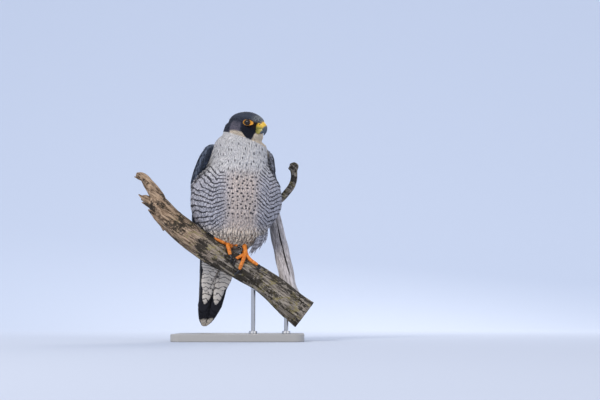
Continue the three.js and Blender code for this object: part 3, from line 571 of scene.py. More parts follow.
wood = {
    "branch": [
        [-165, 0, 271, 11], [-157, 0, 260, 17], [-131, 0, 230, 21.5], [-95, 0, 197, 24], [-51, 0, 168, 23.5],
        [-7, 0, 141, 22], [35, 1, 117, 22.5], [77, 3, 86.5, 25.5], [124, 4, 51, 28.5],
    ],
    "spike": [
        [-198, 4, 316, 3.5], [-187, 3, 312, 7.5], [-174, 2, 297, 10], [-161, 0, 277, 12.5],
        [-147, 0, 254, 14],
    ],
    "stub": [[-186, 0, 270, 5], [-181, -1, 269, 7], [-165, 0, 257, 10], [-150, 0, 245, 8]],
    "splinterUnder": [[-173, -7, 247, 1.2], [-164, -8, 240, 4.5], [-151, -6, 228, 8], [-137, -2, 214, 10]],
    "splinterEnd": [[-192, -6, 276, 1.0], [-184, -5, 270, 3.4], [-170, -3, 261, 6]],
    "splinterLow": [[-187, 4, 262, 1.0], [-179, 3, 259, 3.2], [-166, 0, 252, 6]],
    "splinterTip": [[-202, 2, 311, 0.8], [-195, 3, 309, 2.6], [-184, 3, 305, 4.5]],
    "prong": [
        [104, 6, 66, 20], [92, 18, 103, 15], [86, 36, 136, 14.5], [79, 58, 166, 14.5], [72, 76, 195, 14.5],
        [66, 88, 230, 13.5], [61, 94, 256, 11], [58, 97, 270, 7],
    ],
    "hook": [
        [58, 94, 262, 7], [71, 96, 275, 7], [84, 95, 287, 7], [96, 93, 302, 6.8], [102, 92, 320, 6.4],
        [102, 91, 334, 7], [101, 91, 342, 10.5], [98, 91, 350, 5],
    ],
    # the line of the prong's split, where a dark strip of painted shade lies
    "crackShadow": [(66, 240), (70, 223), (74, 204), (78.5, 184), (82.5, 168), (87, 151), (92, 133), (96, 117)],
    "seed": 3.0, "crackShadowHalf": 1.8, "prongFlat": 0.62, "splinterFlat": 0.7,
}


def curvePoints(line, count):
    # a smooth line through the rows, evenly shared between them
    pts = np.array(line, float)
    steps = np.maximum(np.linalg.norm(np.diff(pts[:, :3], axis=0), axis=1), 1e-6)
    keys = np.concatenate([[0], np.cumsum(steps ** 0.5)])
    t = np.linspace(0, 1, count) * (len(pts) - 1)
    i = np.minimum(t.astype(int), len(pts) - 2)
    slopes = np.gradient(pts, keys, axis=0)
    span = (keys[i + 1] - keys[i])[:, None]
    return hermite((t - i)[:, None], pts[i], pts[i + 1], slopes[i] * span, slopes[i + 1] * span)


branchMiddle = curvePoints(wood["branch"], 160)


# The skin: torso, neck, head and thighs as one surface, set in by the depth of the coat

skin = {
    # u, half width, front, back and sideways shift of the trunk, from its low end to the breast's puffed top
    "stations": [
        [-96, 0, 0, 0, 0], [-88, 29, 17, 35, -2], [-72, 51.5, 32, 46, -2.5], [-50, 68.5, 44, 53, -1.5],
        [-28, 82, 52, 55, 1], [-6, 88, 57, 55, 2], [12, 87, 60, 54, 2], [28, 83, 61, 53, 2],
        [47, 69, 61, 52, 4], [66, 56, 60, 50, 6], [85, 52, 57, 46, 8], [100, 51.5, 54.5, 39, 7.5],
        [108, 49, 53, 32, 6], [113, 41.5, 51, 26, 1], [118, 32, 48, 17, -4.5], [123.5, 18.5, 42, 4, -10.5],
        [127, 0, 33, -33, -14],
    ],
    "voxel": 1.7, "depth": 1.5, "headDepth": 0.2, "smoothing": 5, "branchRoom": 5.0,
    "square": 0.92, "nape": (-8, 0, 400), "napeRadii": (21, 15, 22), "lowEnd": 0.23,
    "axis": [[160, -8, 30], [250, -8, 20], [340, 0, 12], [390, 10, 2], [440, 14, -6]],
}


def addTrunk(work):
    low, high = skin["stations"][0][0], skin["stations"][-1][0]
    squared = [[u, wide ** 2, *rest] for u, wide, *rest in skin["stations"]]
    trunk = bmesh.ops.create_uvsphere(work, u_segments=72, v_segments=60, radius=1)
    for vert in trunk["verts"]:
        x, y, z = vert.co
        u = lerp(low, high, (z + 1) / 2)
        _, wide, front, back, shift = tableAt(squared, np.array(u))
        wide = math.sqrt(max(float(wide), 0))
        ring = math.hypot(x, y)
        if ring < 1e-6:
            vert.co = Vector(place(shift, (front - back) / 2, u)) * mm
            continue
        l, f = (math.copysign(abs(part / ring) ** skin["square"], part) for part in (x, y))
        vert.co = Vector(place(shift + l * wide, (front - back) / 2 + f * (front + back) / 2, u)) * mm


def clearOfBranch(point, room):
    # the point, moved out of the branch's own room
    line = branchMiddle[:, :3]
    i = int(np.argmin(np.linalg.norm(line - point, axis=1)))
    away = point - line[i]
    far = np.linalg.norm(away)
    need = branchMiddle[i, 3] * 1.06 + room
    return point if far >= need else line[i] + away / max(far, 1e-6) * need


def smoothAll(work, times):
    axes = {"use_axis_" + key: True for key in "xyz"}
    for _ in range(times):
        bmesh.ops.smooth_vert(work, verts=work.verts, factor=0.5, **axes)


def buildSkin():
    work = bmesh.new()
    work.from_mesh(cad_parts["head"].data)
    bmesh.ops.remove_doubles(work, verts=work.verts, dist=0.00002)
    addTrunk(work)
    nape = bmesh.ops.create_uvsphere(work, u_segments=32, v_segments=24, radius=1)
    for vert in nape["verts"]:
        vert.co = Vector(np.array(skin["nape"]) + np.array(vert.co) * skin["napeRadii"]) * mm
    bmesh.ops.recalc_face_normals(work, faces=work.faces)
    piece = meshFromBmesh("falconSkin", work)
    remesh = piece.modifiers.new("one surface", "REMESH")
    remesh.mode = "VOXEL"
    remesh.voxel_size = skin["voxel"] * mm
    bpy.context.view_layer.objects.active = piece
    bpy.ops.object.modifier_apply(modifier=remesh.name)
    work = bmesh.new()
    work.from_mesh(piece.data)
    smoothAll(work, skin["smoothing"])
    work.normal_update()
    for vert, normal in [(v, v.normal.copy()) for v in work.verts]:
        onHead = smoothstep(vert.co.z / mm, 384, 400)
        vert.co -= normal * lerp(skin["depth"], skin["headDepth"], onHead) * mm
        if vert.co.z < skin["lowEnd"]:
            vert.co = Vector(clearOfBranch(np.array(vert.co) / mm, skin["branchRoom"])) * mm
    smoothAll(work, 2)
    work.to_mesh(piece.data)
    work.free()
    piece.data.polygons.foreach_set("use_smooth", [True] * len(piece.data.polygons))
    return piece


def skinUnwrap(points):
    # round the body's own middle line, with its seam down the back
    z = points[..., 2]
    axis = tableAt(skin["axis"], z)
    angle = np.arctan2(points[..., 0] - axis[..., 1], -(points[..., 1] - axis[..., 2]))
    return np.stack([0.5 + angle / (2 * np.pi) * 0.96, 0.02 + (z - 150) / 300 * 0.96], -1)


def surfaceOf(piece):
    # its points, triangles and a tree for the nearest spot, in millimetres
    mesh = piece.data
    verts = np.zeros(len(mesh.vertices) * 3)
    mesh.vertices.foreach_get("co", verts)
    verts = verts.reshape(-1, 3) / mm
    mesh.calc_loop_triangles()
    triangles = np.zeros(len(mesh.loop_triangles) * 3, int)
    mesh.loop_triangles.foreach_get("vertices", triangles)
    triangles = triangles.reshape(-1, 3)
    # in one order, whatever order the faces came in, so that the same spots are drawn each time
    middles = np.round(verts[triangles].mean(1), 2)
    triangles = triangles[np.lexsort(middles.T)]
    corner = np.lexsort(np.round(verts[triangles], 2).transpose(2, 0, 1), axis=-1)[:, 0]
    triangles = triangles[np.arange(len(triangles))[:, None], (corner[:, None] + np.arange(3)) % 3]
    tree = BVHTree.FromPolygons([Vector(v) for v in verts], triangles.tolist())
    return {"verts": verts, "triangles": triangles, "tree": tree}


def unwrapSkin(mesh):
    # a face that reaches over the seam is put into the narrow strip beside it
    corners = np.zeros(len(mesh.loops), int)
    mesh.loops.foreach_get("vertex_index", corners)
    uv = skinUnwrap(skinSurface["verts"])[corners].reshape(-1, 4, 2)
    over = np.ptp(uv[..., 0], axis=1) > 0.5
    uv[over, :, 0] = np.where(uv[over, :, 0] > 0.5, 0.985, uv[over, :, 0] % 0.015 + 0.985)
    mesh.uv_layers.new(name="OFBake").uv.foreach_set("vector", uv.reshape(-1))


falconSkin = buildSkin()
skinSurface = surfaceOf(falconSkin)
unwrapSkin(falconSkin.data)
finish(falconSkin, "breast_plumage", skinPaint, "torso", "neck", "head", "thigh_L", "thigh_R")
print("skin has", len(falconSkin.data.polygons), "faces")


# The coat: small feathers over the skin, each lying along the body and following it

coat = {
    # spacing, length, half width and rise of the tips by region, in millimetres
    "face": (1.1, 3.4, 0.75, 0.45), "hood": (1.4, 5.4, 1.1, 0.9), "neck": (1.9, 9.0, 1.55, 1.2),
    "breast": (2.1, 12.0, 1.85, 1.25), "flank": (2.55, 13.0, 2.5, 1.45), "belly": (2.3, 12.5, 2.05, 1.35),
    "back": (3.9, 15.0, 4.4, 2.1), "candidates": 300000,
}


def surfaceSamples(surface, count):
    # points all over a surface, spread by area
    a, b, c = (surface["verts"][surface["triangles"][:, i]] for i in range(3))
    area = np.linalg.norm(np.cross(b - a, c - a), axis=1)
    pick = draw.choice(len(a), count, p=area / area.sum())
    u, v = draw.random((2, count, 1))
    u = np.sqrt(u)
    return a[pick] * (1 - u) + b[pick] * (u * (1 - v)) + c[pick] * (u * v)


def headLine(points):
    # how high a place is, with the collar's slope taken out
    return points[:, 2] + 0.2 * points[:, 0]


def regionShares(points):
    # how much of each region's size a place takes
    l, f, u = bodyAxes(points)
    onHead = smoothstep(headLine(points), 386, 398)
    face = onHead * smoothstep(inHead(points)[0], 2, 18)
    neck = smoothstep(u, 88, 112) * (1 - onHead)
    back = smoothstep(-f, 4, 16) * (1 - onHead) * (1 - neck)
    flank = smoothstep(np.abs(l), 30, 48) * (1 - onHead) * (1 - neck) * (1 - back)
    belly = smoothstep(-u, 20, 60) * (1 - flank) * (1 - back) * (1 - onHead)
    breast = np.clip(1 - onHead - neck - back - flank - belly, 0, 1)
    shares = {"face": face, "hood": onHead - face, "neck": neck, "back": back}
    return shares | {"flank": flank, "belly": belly, "breast": breast}


def coatSizes(points):
    shares = regionShares(points)
    total = sum(shares.values())
    return [sum(shares[key] * coat[key][i] for key in shares) / total for i in range(4)]


def coatLie(points, normals):
    # backwards from the bill on the head, down the body and a little outwards from the breast's middle
    l, _, u = bodyAxes(points)
    away = unit(points - headPlace(26.0, 0.0, -4.0))
    away[:, 2] -= 0.25
    down = np.zeros_like(points)
    down[:, 0] = 0.0022 * np.clip(l, -60, 60) * smoothstep(u, -40, 80)
    down[:, 1] = 0.25 * smoothstep(np.abs(l), 30, 80) + 0.9 * smoothstep(-u, 50, 96)
    down[:, 2] = -1
    onHead = smoothstep(headLine(points), 378, 398)[:, None]
    return flatOn(unit(down) * (1 - onHead) + away * onHead, normals)


def nearestOn(surface, points):
    spots, normals = np.empty_like(points), np.empty_like(points)
    for i, point in enumerate(points):
        spot, normal, _, _ = surface["tree"].find_nearest(Vector(point))
        spots[i], normals[i] = spot, normal
    return spots, normals


def spotTree(points):
    tree = KDTree(len(points))
    for i, point in enumerate(points):
        tree.insert(Vector(point), i)
    tree.balance()
    return tree


def keptApart(points, spacing):
    # of the samples, those that keep their spacing from all kept before them
    tree = spotTree(points)
    dropped = np.zeros(len(points), bool)
    kept = []
    for i, point in enumerate(points):
        if dropped[i]:
            continue
        kept.append(i)
        for _, j, _ in tree.find_range(Vector(point), float(spacing[i])):
            if j > i:
                dropped[j] = True
    return np.array(kept)


def smoothNormals(points, normals):
    # softened over a few millimetres, so that one crease doesn't turn a feather
    tree = spotTree(points)
    near = [[j for _, j, _ in tree.find_n(Vector(point), 7)] for point in points]
    return unit(np.array([normals[some].sum(0) for some in near]))


def feathered(points):
    # all but the places round the eyes and on the bill
    hf, hl, hu = inHead(points)
    eye = np.hypot((hf - 13.5) / 9.5, (hu - 1.2) / 7.5) < 1
    eye &= np.abs(hl) > 12
    bill = (hf > 24.5) & (np.abs(hl) < 10.5) & (hu < 4.8) & (hu > -10.5)
    return ~(eye | bill)


def outOf(surface, room):
    # a test for places that aren't buried deeper than the room in a surface
    def test(points):
        spots, normals = nearestOn(surface, points)
        return np.sum((points - spots) * normals, axis=1) > -room

    return test


def scatterFeathers(surface, candidates, sizes, lieOf, allowed, spread=0.13):
    # roots on a surface: sizes(points) gives spacing, length, half width and rise
    points, normals = nearestOn(surface, surfaceSamples(surface, candidates))
    fine = allowed(points)
    points, normals = points[fine], normals[fine]
    kept = keptApart(points, sizes(points)[0])
    points = points[kept]
    normals = smoothNormals(points, normals[kept])
    _, length, half, rise = sizes(points)
    count = len(points)
    lie = lieOf(points, normals)
    lie = unit(lie + np.cross(normals, lie) * draw.normal(0, spread, count)[:, None])
    length = length * draw.uniform(0.85, 1.18, count)
    half = half * draw.uniform(0.85, 1.15, count)
    rise = rise * draw.uniform(0.7, 1.3, count)
    return {"points": points, "normals": normals, "lie": lie, "length": length, "half": half, "rise": rise}


def layFeathers(name, surface, feathers, chosen=slice(None), unwrap=skinUnwrap, rows=5, fray=1.0, lift=0.0):
    # each feather follows its surface, from its buried root to its risen tip
    points, normals, lie = (feathers[key][chosen] for key in ("points", "normals", "lie"))
    length, half, rise = (feathers[key][chosen] for key in ("length", "half", "rise"))
    share = np.linspace(0, 1, rows)
    width = np.interp(share, [0, 0.3, 0.62, 0.86, 1.0], [0.42, 0.85, 1.0, 0.74, 0.3])
    mids, out, spot, direction = [], [], points, lie
    step = length / (rows - 1)
    for row in range(rows):
        if row:
            spot, normals = nearestOn(surface, spot + direction * step[:, None] + normals * lift)
            direction = flatOn(direction, normals)
        height = -tuft["bury"] + (rise + tuft["bury"]) * share[row] ** 0.8
        mids.append(spot + normals * height[:, None])
        out.append(normals)
    mids, out = np.stack(mids, 1), np.stack(out, 1)
    for _ in range(2 if lift else 0):
        mids[:, 1:-1] = (mids[:, :-2] + mids[:, 2:]) / 4 + mids[:, 1:-1] / 2
        out[:, 1:-1] = unit(out[:, :-2] + out[:, 2:] + out[:, 1:-1] * 2)
    along = unit(np.gradient(mids, axis=1))
    halves = unit(np.cross(along, out)) * (half[:, None] * width[None, :])[..., None]
    up = unit(np.cross(halves, along))
    return featherRows(name, mids, halves, up, tuft["camber"], tuft["thick"], 3, unwrap(points), fray=fray)


def dress(name, slot, material, surface, candidates, sizes, lieOf, allowed, spread=0.13, over=None, **how):
    # feathers grown on one surface and laid over it, or over another
    feathers = scatterFeathers(surface, candidates, sizes, lieOf, allowed, spread)
    finish(layFeathers(name, over or surface, feathers, **how), slot, material)
    print(name, len(feathers["points"]), "feathers")


def buildCoat():
    feathers = scatterFeathers(skinSurface, coat["candidates"], coatSizes, coatLie, feathered)
    _, f, u = bodyAxes(feathers["points"])
    onHead = headLine(feathers["points"]) > 392
    behind = (f < -18) & ~onHead
    slate = behind & (u > -85)
    parts = [
        ("headFeathers", onHead, "hood_plumage", 0.5),
        ("backFeathers", slate, "slate_plumage", 0.4),
        ("breastFeathers", ~onHead & ~behind & (u > 10), "breast_plumage", 1.2),
        ("bellyFeathers", ~onHead & ~slate & (u <= 10), "breast_plumage", 1.4),
    ]
    for name, chosen, slot, fray in parts:
        finish(layFeathers(name, skinSurface, feathers, chosen, fray=fray), slot, coatPaint)
        print(name, int(chosen.sum()), "feathers")


buildCoat()


# The folded wings: a core, then feathers in tiers from the primaries up to the shoulder

wing = {
    "stations": [
        [114, 42, 10, 30], [104, 54, 6, 38], [85, 65, 4, 46], [66, 73, 3, 50], [47, 79, 3, 53],
        [28, 82, 3, 54],
        [0, 83, 3, 56], [-28, 81, 9, 53], [-50, 71, 19, 47], [-70, 59, 31, 38], [-90, 49, 43, 29],
        [-110, 42, 55, 21],
        [-140, 34, 68, 14], [-170, 27, 80, 10], [-200, 20, 90, 8], [-230, 11, 99, 6],
    ],
    "top": 112, "end": -46, "leftOut": 9.0, "thick": 7, "inner": 24,
    # spacing, length, half width and rise of the small feathers, low and high on the wing
    "small": [(5.0, 3.6), (15, 9.5), (4.6, 3.2), (2.2, 1.5)],
    "primaryTips": [-224, -230, -228, -221, -212, -201, -189, -176, -163, -150],
    # height, length, number and half width of the rows of coverts
    "coverts": [
        (30, 50, 14, 8.0), (45, 34, 14, 7.2), (57, 27, 14, 6.6), (68, 23, 14, 6.0), (78, 20, 13, 5.6),
        (87, 18, 12, 5.2), (95, 16, 11, 4.8),
    ],
    "slate": (0.095, 0.12, 0.17), "dark": (0.030, 0.036, 0.055), "edge": (0.30, 0.34, 0.41),
    "pale": (0.36, 0.37, 0.41), "barStep": 0.21, "candidates": 14000,
    "primary": ((0.04, 0.045, 0.055), (0.02, 0.022, 0.03), (0.16, 0.16, 0.16)),
}


def wingPoint(side, u, angle, height):
    _, wide, shift, deep = np.moveaxis(tableAt(wing["stations"], u), -1, 0)
    slim = lerp(0.4, 1, smoothstep(angle, math.radians(4), math.radians(48)))
    out = wing["leftOut"] * smoothstep(u, 50, 100) if side > 0 else 0
    l = np.cos(angle) * (wide + height * slim) + out
    return place(side * l, -(shift + np.sin(angle) * (deep + height * slim)), u)


def wingLeading(u):
    high = lerp(6, -8, smoothstep(u, 40, 100))
    return np.radians(np.where(u > 40, high, lerp(30, 6, smoothstep(u, 8, 40))))


def wingInner(u):
    return np.radians(lerp(84, 56, smoothstep(u, -20, 100)))


def shellHeight(u, angle):
    # of the folded wing over the body; it closes to its rims and its top
    held = np.maximum(u, wing["end"])
    middle = (wingLeading(held) + wingInner(held)) / 2
    span = (wingInner(held) - wingLeading(held)) / 2
    across = np.clip((angle - middle) / span, -1, 1)
    top = np.clip((wing["top"] - u) / 26, 0, 1) ** 0.5
    tail = lerp(1, 0.5, smoothstep(-u, 50, 150))
    return wing["thick"] * (1 - across ** 2) ** 0.3 * top * tail


def wingCore(name, side):
    work = bmesh.new()
    bmesh.ops.create_uvsphere(work, u_segments=40, v_segments=28, radius=1)
    for vert in work.verts:
        x, z, y = vert.co
        u = np.array(lerp(wing["end"], wing["top"], (y + 1) / 2))
        closing = min(1, 1.5 * math.sqrt(max(0, 1 - y * y)))
        leading, inner = wingLeading(u), wingInner(u)
        across = x / max(math.hypot(x, z), 1e-6)
        swell = max(0, 1 - across * across) ** 0.3 * closing
        height = (wing["thick"] - 1.2) * swell if z > 0 else -wing["inner"] * swell
        angle = (leading + inner) / 2 + across * (inner - leading) / 2 * closing
        vert.co = Vector(wingPoint(side, u, angle, height)) * mm
    bmesh.ops.recalc_face_normals(work, faces=work.faces)
    return meshFromBmesh(name, work)


def vaneProfile(rows, tip=0.16, taper=0.86):
    # shares along a vane, and its width there
    share = np.linspace(0, 1, rows)
    keys = [0, 0.3, taper - 0.2, taper, (taper + 2) / 3, 1.0]
    return share, np.interp(share, keys, [0.6, 0.95, 1.0, 0.88, 0.6, tip])


def vaneFrame(mids, across, outwards):
    # the directions across each vane, square to its length, and out of its upper side
    along = unit(np.gradient(mids, axis=1))
    across = flatOn(across, along)
    out = unit(np.cross(across, along))
    return across, out * np.sign(np.sum(out * outwards, axis=-1, keepdims=True))


def wingTier(side, rootU, tipU, rootAngle, tipAngle, low, high, half, rows, tilt=7.0):
    # feathers of one tier: heights, angles, rises and half widths hold one value for each feather
    share, profile = vaneProfile(rows)
    u = lerp(rootU[:, None], tipU[:, None], share)
    angle = np.radians(lerp(rootAngle[:, None], tipAngle[:, None], share))
    row = tableAt(wing["stations"], u)
    step = 0.5 / np.hypot(row[..., 1] * np.sin(angle), row[..., 3] * np.cos(angle))
    height = shellHeight(u, angle) * 0.9 + lerp(low[:, None], high[:, None], share ** 0.8)
    mids = wingPoint(side, u, angle, height)
    across = wingPoint(side, u, angle + step, height) - wingPoint(side, u, angle - step, height)
    across, out = vaneFrame(mids, across, wingPoint(side, u, angle, height + 1) - mids)
    s, c = math.sin(math.radians(tilt)), math.cos(math.radians(tilt))
    halves = (across * c - out * s) * (half[:, None] * profile)[..., None]
    return mids, halves, out * c + across * s


def wingFeathers(side):
    # ten primaries, twelve secondaries and the rows of coverts
    i = np.arange(10)
    tips = np.array(wing["primaryTips"], float)
    lift = -5.5 + 0.62 * i
    half = np.full(10, 8.6)
    tiers = [wingTier(
        side, np.full(10, -22.0), tips, 24 + 3.4 * i, 56 - 1.3 * i, lift, lift + 1, half, 16, 0.0)]
    n = 12
    share = np.linspace(0, 1, n)
    tips = lerp(-82, -148, share ** 0.8) + draw.uniform(0, 2, n)
    tiers.append(wingTier(
        side, np.full(n, 4.0), tips, lerp(28, 78, share), lerp(30, 70, share),
        np.full(n, 0.3), lerp(1.4, 2.2, share), np.full(n, 8.2), 14, 8.0))
    for k, (u, long, count, half) in enumerate(wing["coverts"]):
        start = math.degrees(wingLeading(np.array(u - long * 0.5))) + 3
        stop = math.degrees(wingInner(np.array(u))) - 3
        angle = np.linspace(start, stop, count) + (2.0 if k % 2 else 0.0) + draw.normal(0, 0.5, count)
        rootU = u + draw.uniform(-1.5, 1.5, count)
        tipU = rootU - long * draw.uniform(0.94, 1.06, count)
        low = np.full(count, 0.3 + 0.15 * k)
        half = half * draw.uniform(0.94, 1.08, count)
        tiers.append(wingTier(side, rootU, tipU, angle, angle + 2, low, low + 2.3, half, 9))
    return tiers


def vaneMaterial(name, base, dark, edge, step, strength=0.6, tip=None, band=None, pale=None):
    # a flight feather: a shaft, paler rims, cross bars and fine barbs, drawn along its own vane
    material, shader, point = newMaterial(name, 0.62, 0.3)
    across, along = vaneAt(shader)
    seed = seedOf(shader)
    off = abs(across - 0.5)
    colour = blend(noise(point, 55, 3), base, times(base, 1.35))
    colour = blend(seed * 0.35, colour, times(base, 1.5))
    bow = along + off * off * -0.22 + (noise(point, 300, 1) - 0.5) * 0.012 + seed * 0.04
    colour = blend(bow.wave(step).ramp(0.22, 0.36) * strength, colour, dark)
    rim = off.ramp(0.42, 0.495).atLeast(along.ramp(0.955, 0.99))
    colour = blend(rim * 0.7, colour, edge)
    if pale:
        left, front, _ = bodyMask(point)
        front = (front + (noise(point, 90, 2) - 0.5) * 10.0).ramp(-18, -7)
        colour = blend(left.ramp(0, 10) * front * 0.8, colour, pale)
    shaft = off.ramp(0.022, 0.01)
    colour = blend(shaft * 0.7, colour, times(base, 0.5))
    if band:
        colour = blend(along.ramp(band, band + 0.06), colour, dark)
    if tip:
        ending = (point.parts()[2] + (noise(point, 90, 2) - 0.5) * 0.012).ramp(0.043, 0.038)
        colour = blend(ending * along.ramp(0.84, 0.9) * off.ramp(0.46, 0.36), colour, tip)
    barbs = noise(joined(off * 3.0, along * 130.0 + off * 66.0, seed * 50.0), 1.0, 2)
    plug(shader, "Base Color", shaded(colour, barbs, 0.84, 1.13))
    bumpInto(shader, barbs * 0.5 + shaft, 0.0004, 0.6)
    return material


wingPaint = vaneMaterial(
    "wing feathers", wing["slate"], wing["dark"], wing["edge"], wing["barStep"], pale=wing["pale"])
primaryPaint = vaneMaterial("primary feathers", *wing["primary"], 0.09, 0.3)


def coreMaterial():
    # plain slate, but pale with brown specks on the left wing's front rim
    material, shader, point = newMaterial("wing core", 0.8, 0.3)
    left, front, _ = bodyMask(point)
    specks = noise(point, 260, 3, 0.65)
    rim = blend(specks.ramp(0.38, 0.56), (0.09, 0.075, 0.065), wing["pale"])
    plug(shader, "Base Color", blend(left.ramp(0, 10) * front.ramp(-16, -8), wing["slate"], rim))
    bumpInto(shader, specks, 0.0008, 0.6)
    return material


corePaint = coreMaterial()


def wingBake(points):
    # by a root's angle round the body and its height
    l, f, u = bodyAxes(points)
    return np.stack([0.05 + np.arctan2(-f, np.abs(l)) / 2 * 0.9, 0.05 + (u + 240) / 360 * 0.9], -1)


def wingSizes(points):
    high = smoothstep(points[:, 2] - body["z"], 20, 100)
    return [lerp(*sizes, high) for sizes in wing["small"]]


def buildWing(side):
    key = "L" if side > 0 else "R"
    core = wingCore("wingCore" + key, side)
    sideUnwrap(core, -10, 240, 150, 280)
    finish(core, "slate_plumage", corePaint, "wing_" + key)
    surface = surfaceOf(core)
    dress(
        "wingSmall" + key, "slate_plumage", wingPaint, surface, wing["candidates"], wingSizes,
        steady(0, 0.22, -1.0), outOf(skinSurface, 1.5), 0.09, unwrap=wingBake, fray=0.3)
    names = ["primaries", "secondaries"] + ["coverts%d" % k for k in range(1, len(wing["coverts"]) + 1)]
    for name, (mids, halves, out) in zip(names, wingFeathers(side)):
        roots = wingBake(mids[:, 0]) if "coverts" in name else None
        thick = np.linspace(0.7, 0.35, mids.shape[1])
        piece = featherRows(name + key, mids, halves, out, 0.13, thick, 7, roots)
        finish(piece, "slate_plumage", primaryPaint if name == "primaries" else wingPaint)
    return surface


wingSurfaces = [buildWing(wingSide) for wingSide in (1, -1)]
print("wings ready")


# Loose plumage: flank feathers over the wings' front rims, plumes under the left flank and the trousers

loose = {
    # spacing, length, half width and rise
    "cover": (3.2, 34.0, 3.4, 6.5), "vent": (3.0, 14.0, 2.5, 4.0), "trouser": (2.7, 11.0, 2.3, 1.8),
    "coverHigh": 106, "coverLow": 14, "plumes": 64, "plumeHalf": 3.0,
    "coverCandidates": 40000, "ventCandidates": 16000, "trouserCandidates": 12000,
}


def byTheWing(points):
    # a strip of skin in front of each wing's front rim
    l, f, u = bodyAxes(points)
    _, wide, shift, deep = tableAt(wing["stations"], u).T
    angle, lead = np.arctan2((-f - shift) / deep, np.abs(l) / wide), wingLeading(u)
    return (angle > lead - 0.45) & (angle < lead + 0.02) & (u > loose["coverLow"]) & (u < loose["coverHigh"])


def coverLie(points, normals):
    # to its own side, backwards and down
    s, c = math.sin(body["turn"]), math.cos(body["turn"])
    side = np.sign(bodyAxes(points)[0])[:, None] * np.array([c, s, 0]) * 1.4
    return flatOn(side + np.array([-s * 0.5, c * 0.5, -0.65]), normals)


def coverSizes(points):
    spacing, length, half, rise = alike(loose["cover"])(points)
    high = smoothstep(points[:, 2] - body["z"], 18, 66)
    return [spacing, length * lerp(0.5, 1, high), half, rise * lerp(0.3, 1, high)]


def buildCovers():
    # they lie over the skin and both wings alike
    parts = [skinSurface, *wingSurfaces]
    starts = np.cumsum([0] + [len(part["verts"]) for part in parts])
    verts = np.concatenate([part["verts"] for part in parts])
    triangles = np.concatenate([part["triangles"] + start for part, start in zip(parts, starts)])
    over = {"tree": BVHTree.FromPolygons([Vector(v) for v in verts], triangles.tolist())}
    dress(
        "flankCovers", "breast_plumage", chestPaint, skinSurface, loose["coverCandidates"], coverSizes,
        coverLie, byTheWing, 0.1, over, rows=8, fray=1.6, lift=3.0)


def buildPlumes():
    # they hang free behind the belly's edge, barred and frayed
    count = loose["plumes"]
    fan = (np.arange(count) + 0.5) / count
    root = place(lerp(40, 62, fan), lerp(24, 2, fan), lerp(-62, -46, fan) + draw.uniform(-4, 6, count))
    tipL = lerp(24, 56, fan) + draw.uniform(-3, 3, count)
    tipU = lerp(-104, -78, fan) + draw.uniform(-5, 9, count)
    tip = place(tipL, lerp(22, 0, fan), tipU)
    share = np.linspace(0, 1, 10)
    bow = 4.0 * np.sin(math.pi * share) * draw.uniform(0.3, 1.2, count)[:, None]
    outwards = unit(place(1.0, 0.0, 0.0) - place(0.0, 0.0, 0.0))
    mids = root[:, None] + (tip - root)[:, None] * share[:, None] + outwards * bow[..., None]
    along = unit(np.gradient(mids, axis=1))
    across = flatOn(place(66.0, 2.0, 0.0) - place(48.0, 24.0, 0.0), along)
    width = loose["plumeHalf"] * np.interp(share, [0, 0.3, 0.7, 0.9, 1], [0.6, 1, 0.9, 0.6, 0.2])
    halves, normals = across * width[:, None], np.cross(across, along)
    piece = featherRows("flankPlumes", mids, halves, normals, 0.1, 0.3, 5, skinUnwrap(root), fray=2.2)
    # the plumes take the flank colour with its painted shade: a fifth darker as their base, and as it is for
    # their rims
    white, dark = plumage["flank"], times(plumage["mark"], 2.0)
    finish(piece, "breast_plumage", vaneMaterial("flank plumes", times(white, 0.8), dark, white, 0.17, 0.75))


def atVent(points):
    # the belly's lower edge in front, with a ragged upper end
    _, f, u = bodyAxes(points)
    return (u < draw.uniform(-80, -46, len(u))) & (u > -84) & (f > -6)


def buildVent():
    # longer loose feathers over the tops of the feet
    dress(
        "ventFeathers", "breast_plumage", chestPaint, skinSurface, loose["ventCandidates"],
        alike(loose["vent"]), steady(0, -0.25, -1.0), atVent, 0.25, rows=6, fray=2.4)


def buildTrousers():
    # short feathers on the thighs, where the legs leave the belly
    for key in ("L", "R"):
        thigh = surfaceOf(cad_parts["thigh_" + key])
        dress(
            "trousers" + key, "breast_plumage", chestPaint, thigh, loose["trouserCandidates"],
            alike(loose["trouser"]), steady(0, 0, -1.0), outOf(skinSurface, 2.0), fray=1.2)


buildCovers()
buildPlumes()
buildVent()
buildTrousers()


# The tail: twelve long feathers, the barred white coverts under them and grey ones over their bases

tail = {
    "rootU": -84, "rootB": 46, "lean": 0.28, "tipU": -239, "step": 26, "feathers": 12, "pitch": 0.95,
    "band": (0.013, 0.014, 0.022), "base": (0.09, 0.10, 0.12), "tip": (0.74, 0.67, 0.57),
    "rim": (0.10, 0.10, 0.11),
    # the coverts below by root and tip aside, tip's height and half width; those above by reach and lift
    "under": [
        (10, 11, -199, 12.0), (16, 17, -172, 14), (14, 16, -152, 16), (22, 22, -136, 16), (12, 14, -124, 13),
    ],
    "over": [(-52, 13.2), (-34, 15.0), (-18, 16.6)],
}


def tailPoint(l, u, lift):
    return place(l, -(tail["rootB"] + tail["lean"] * (tail["rootU"] - u) + lift), u)


def tailTier(rootL, tipL, rootU, tipU, lift, half, rows, tip=0.16, taper=0.9):
    # rootU and half are shared by the tier's feathers
    share, profile = vaneProfile(rows, tip, taper)
    l = lerp(rootL[:, None], tipL[:, None], share)
    u = lerp(rootU, tipU[:, None], share)
    lift = lift[:, None]
    mids = tailPoint(l, u, lift)
    across = tailPoint(l + 0.5, u, lift) - tailPoint(l - 0.5, u, lift)
    across, out = vaneFrame(mids, across, tailPoint(l, u, lift + 1) - mids)
    return mids, across * (half * profile)[:, None], out


def tailPiece(name, tier, slot, material, camber, *nodes):
    mids, halves, out = tier
    thick = np.linspace(0.6, 0.35, mids.shape[1])
    finish(featherRows(name, mids, halves, out, camber, thick, 7), slot, material, *nodes)


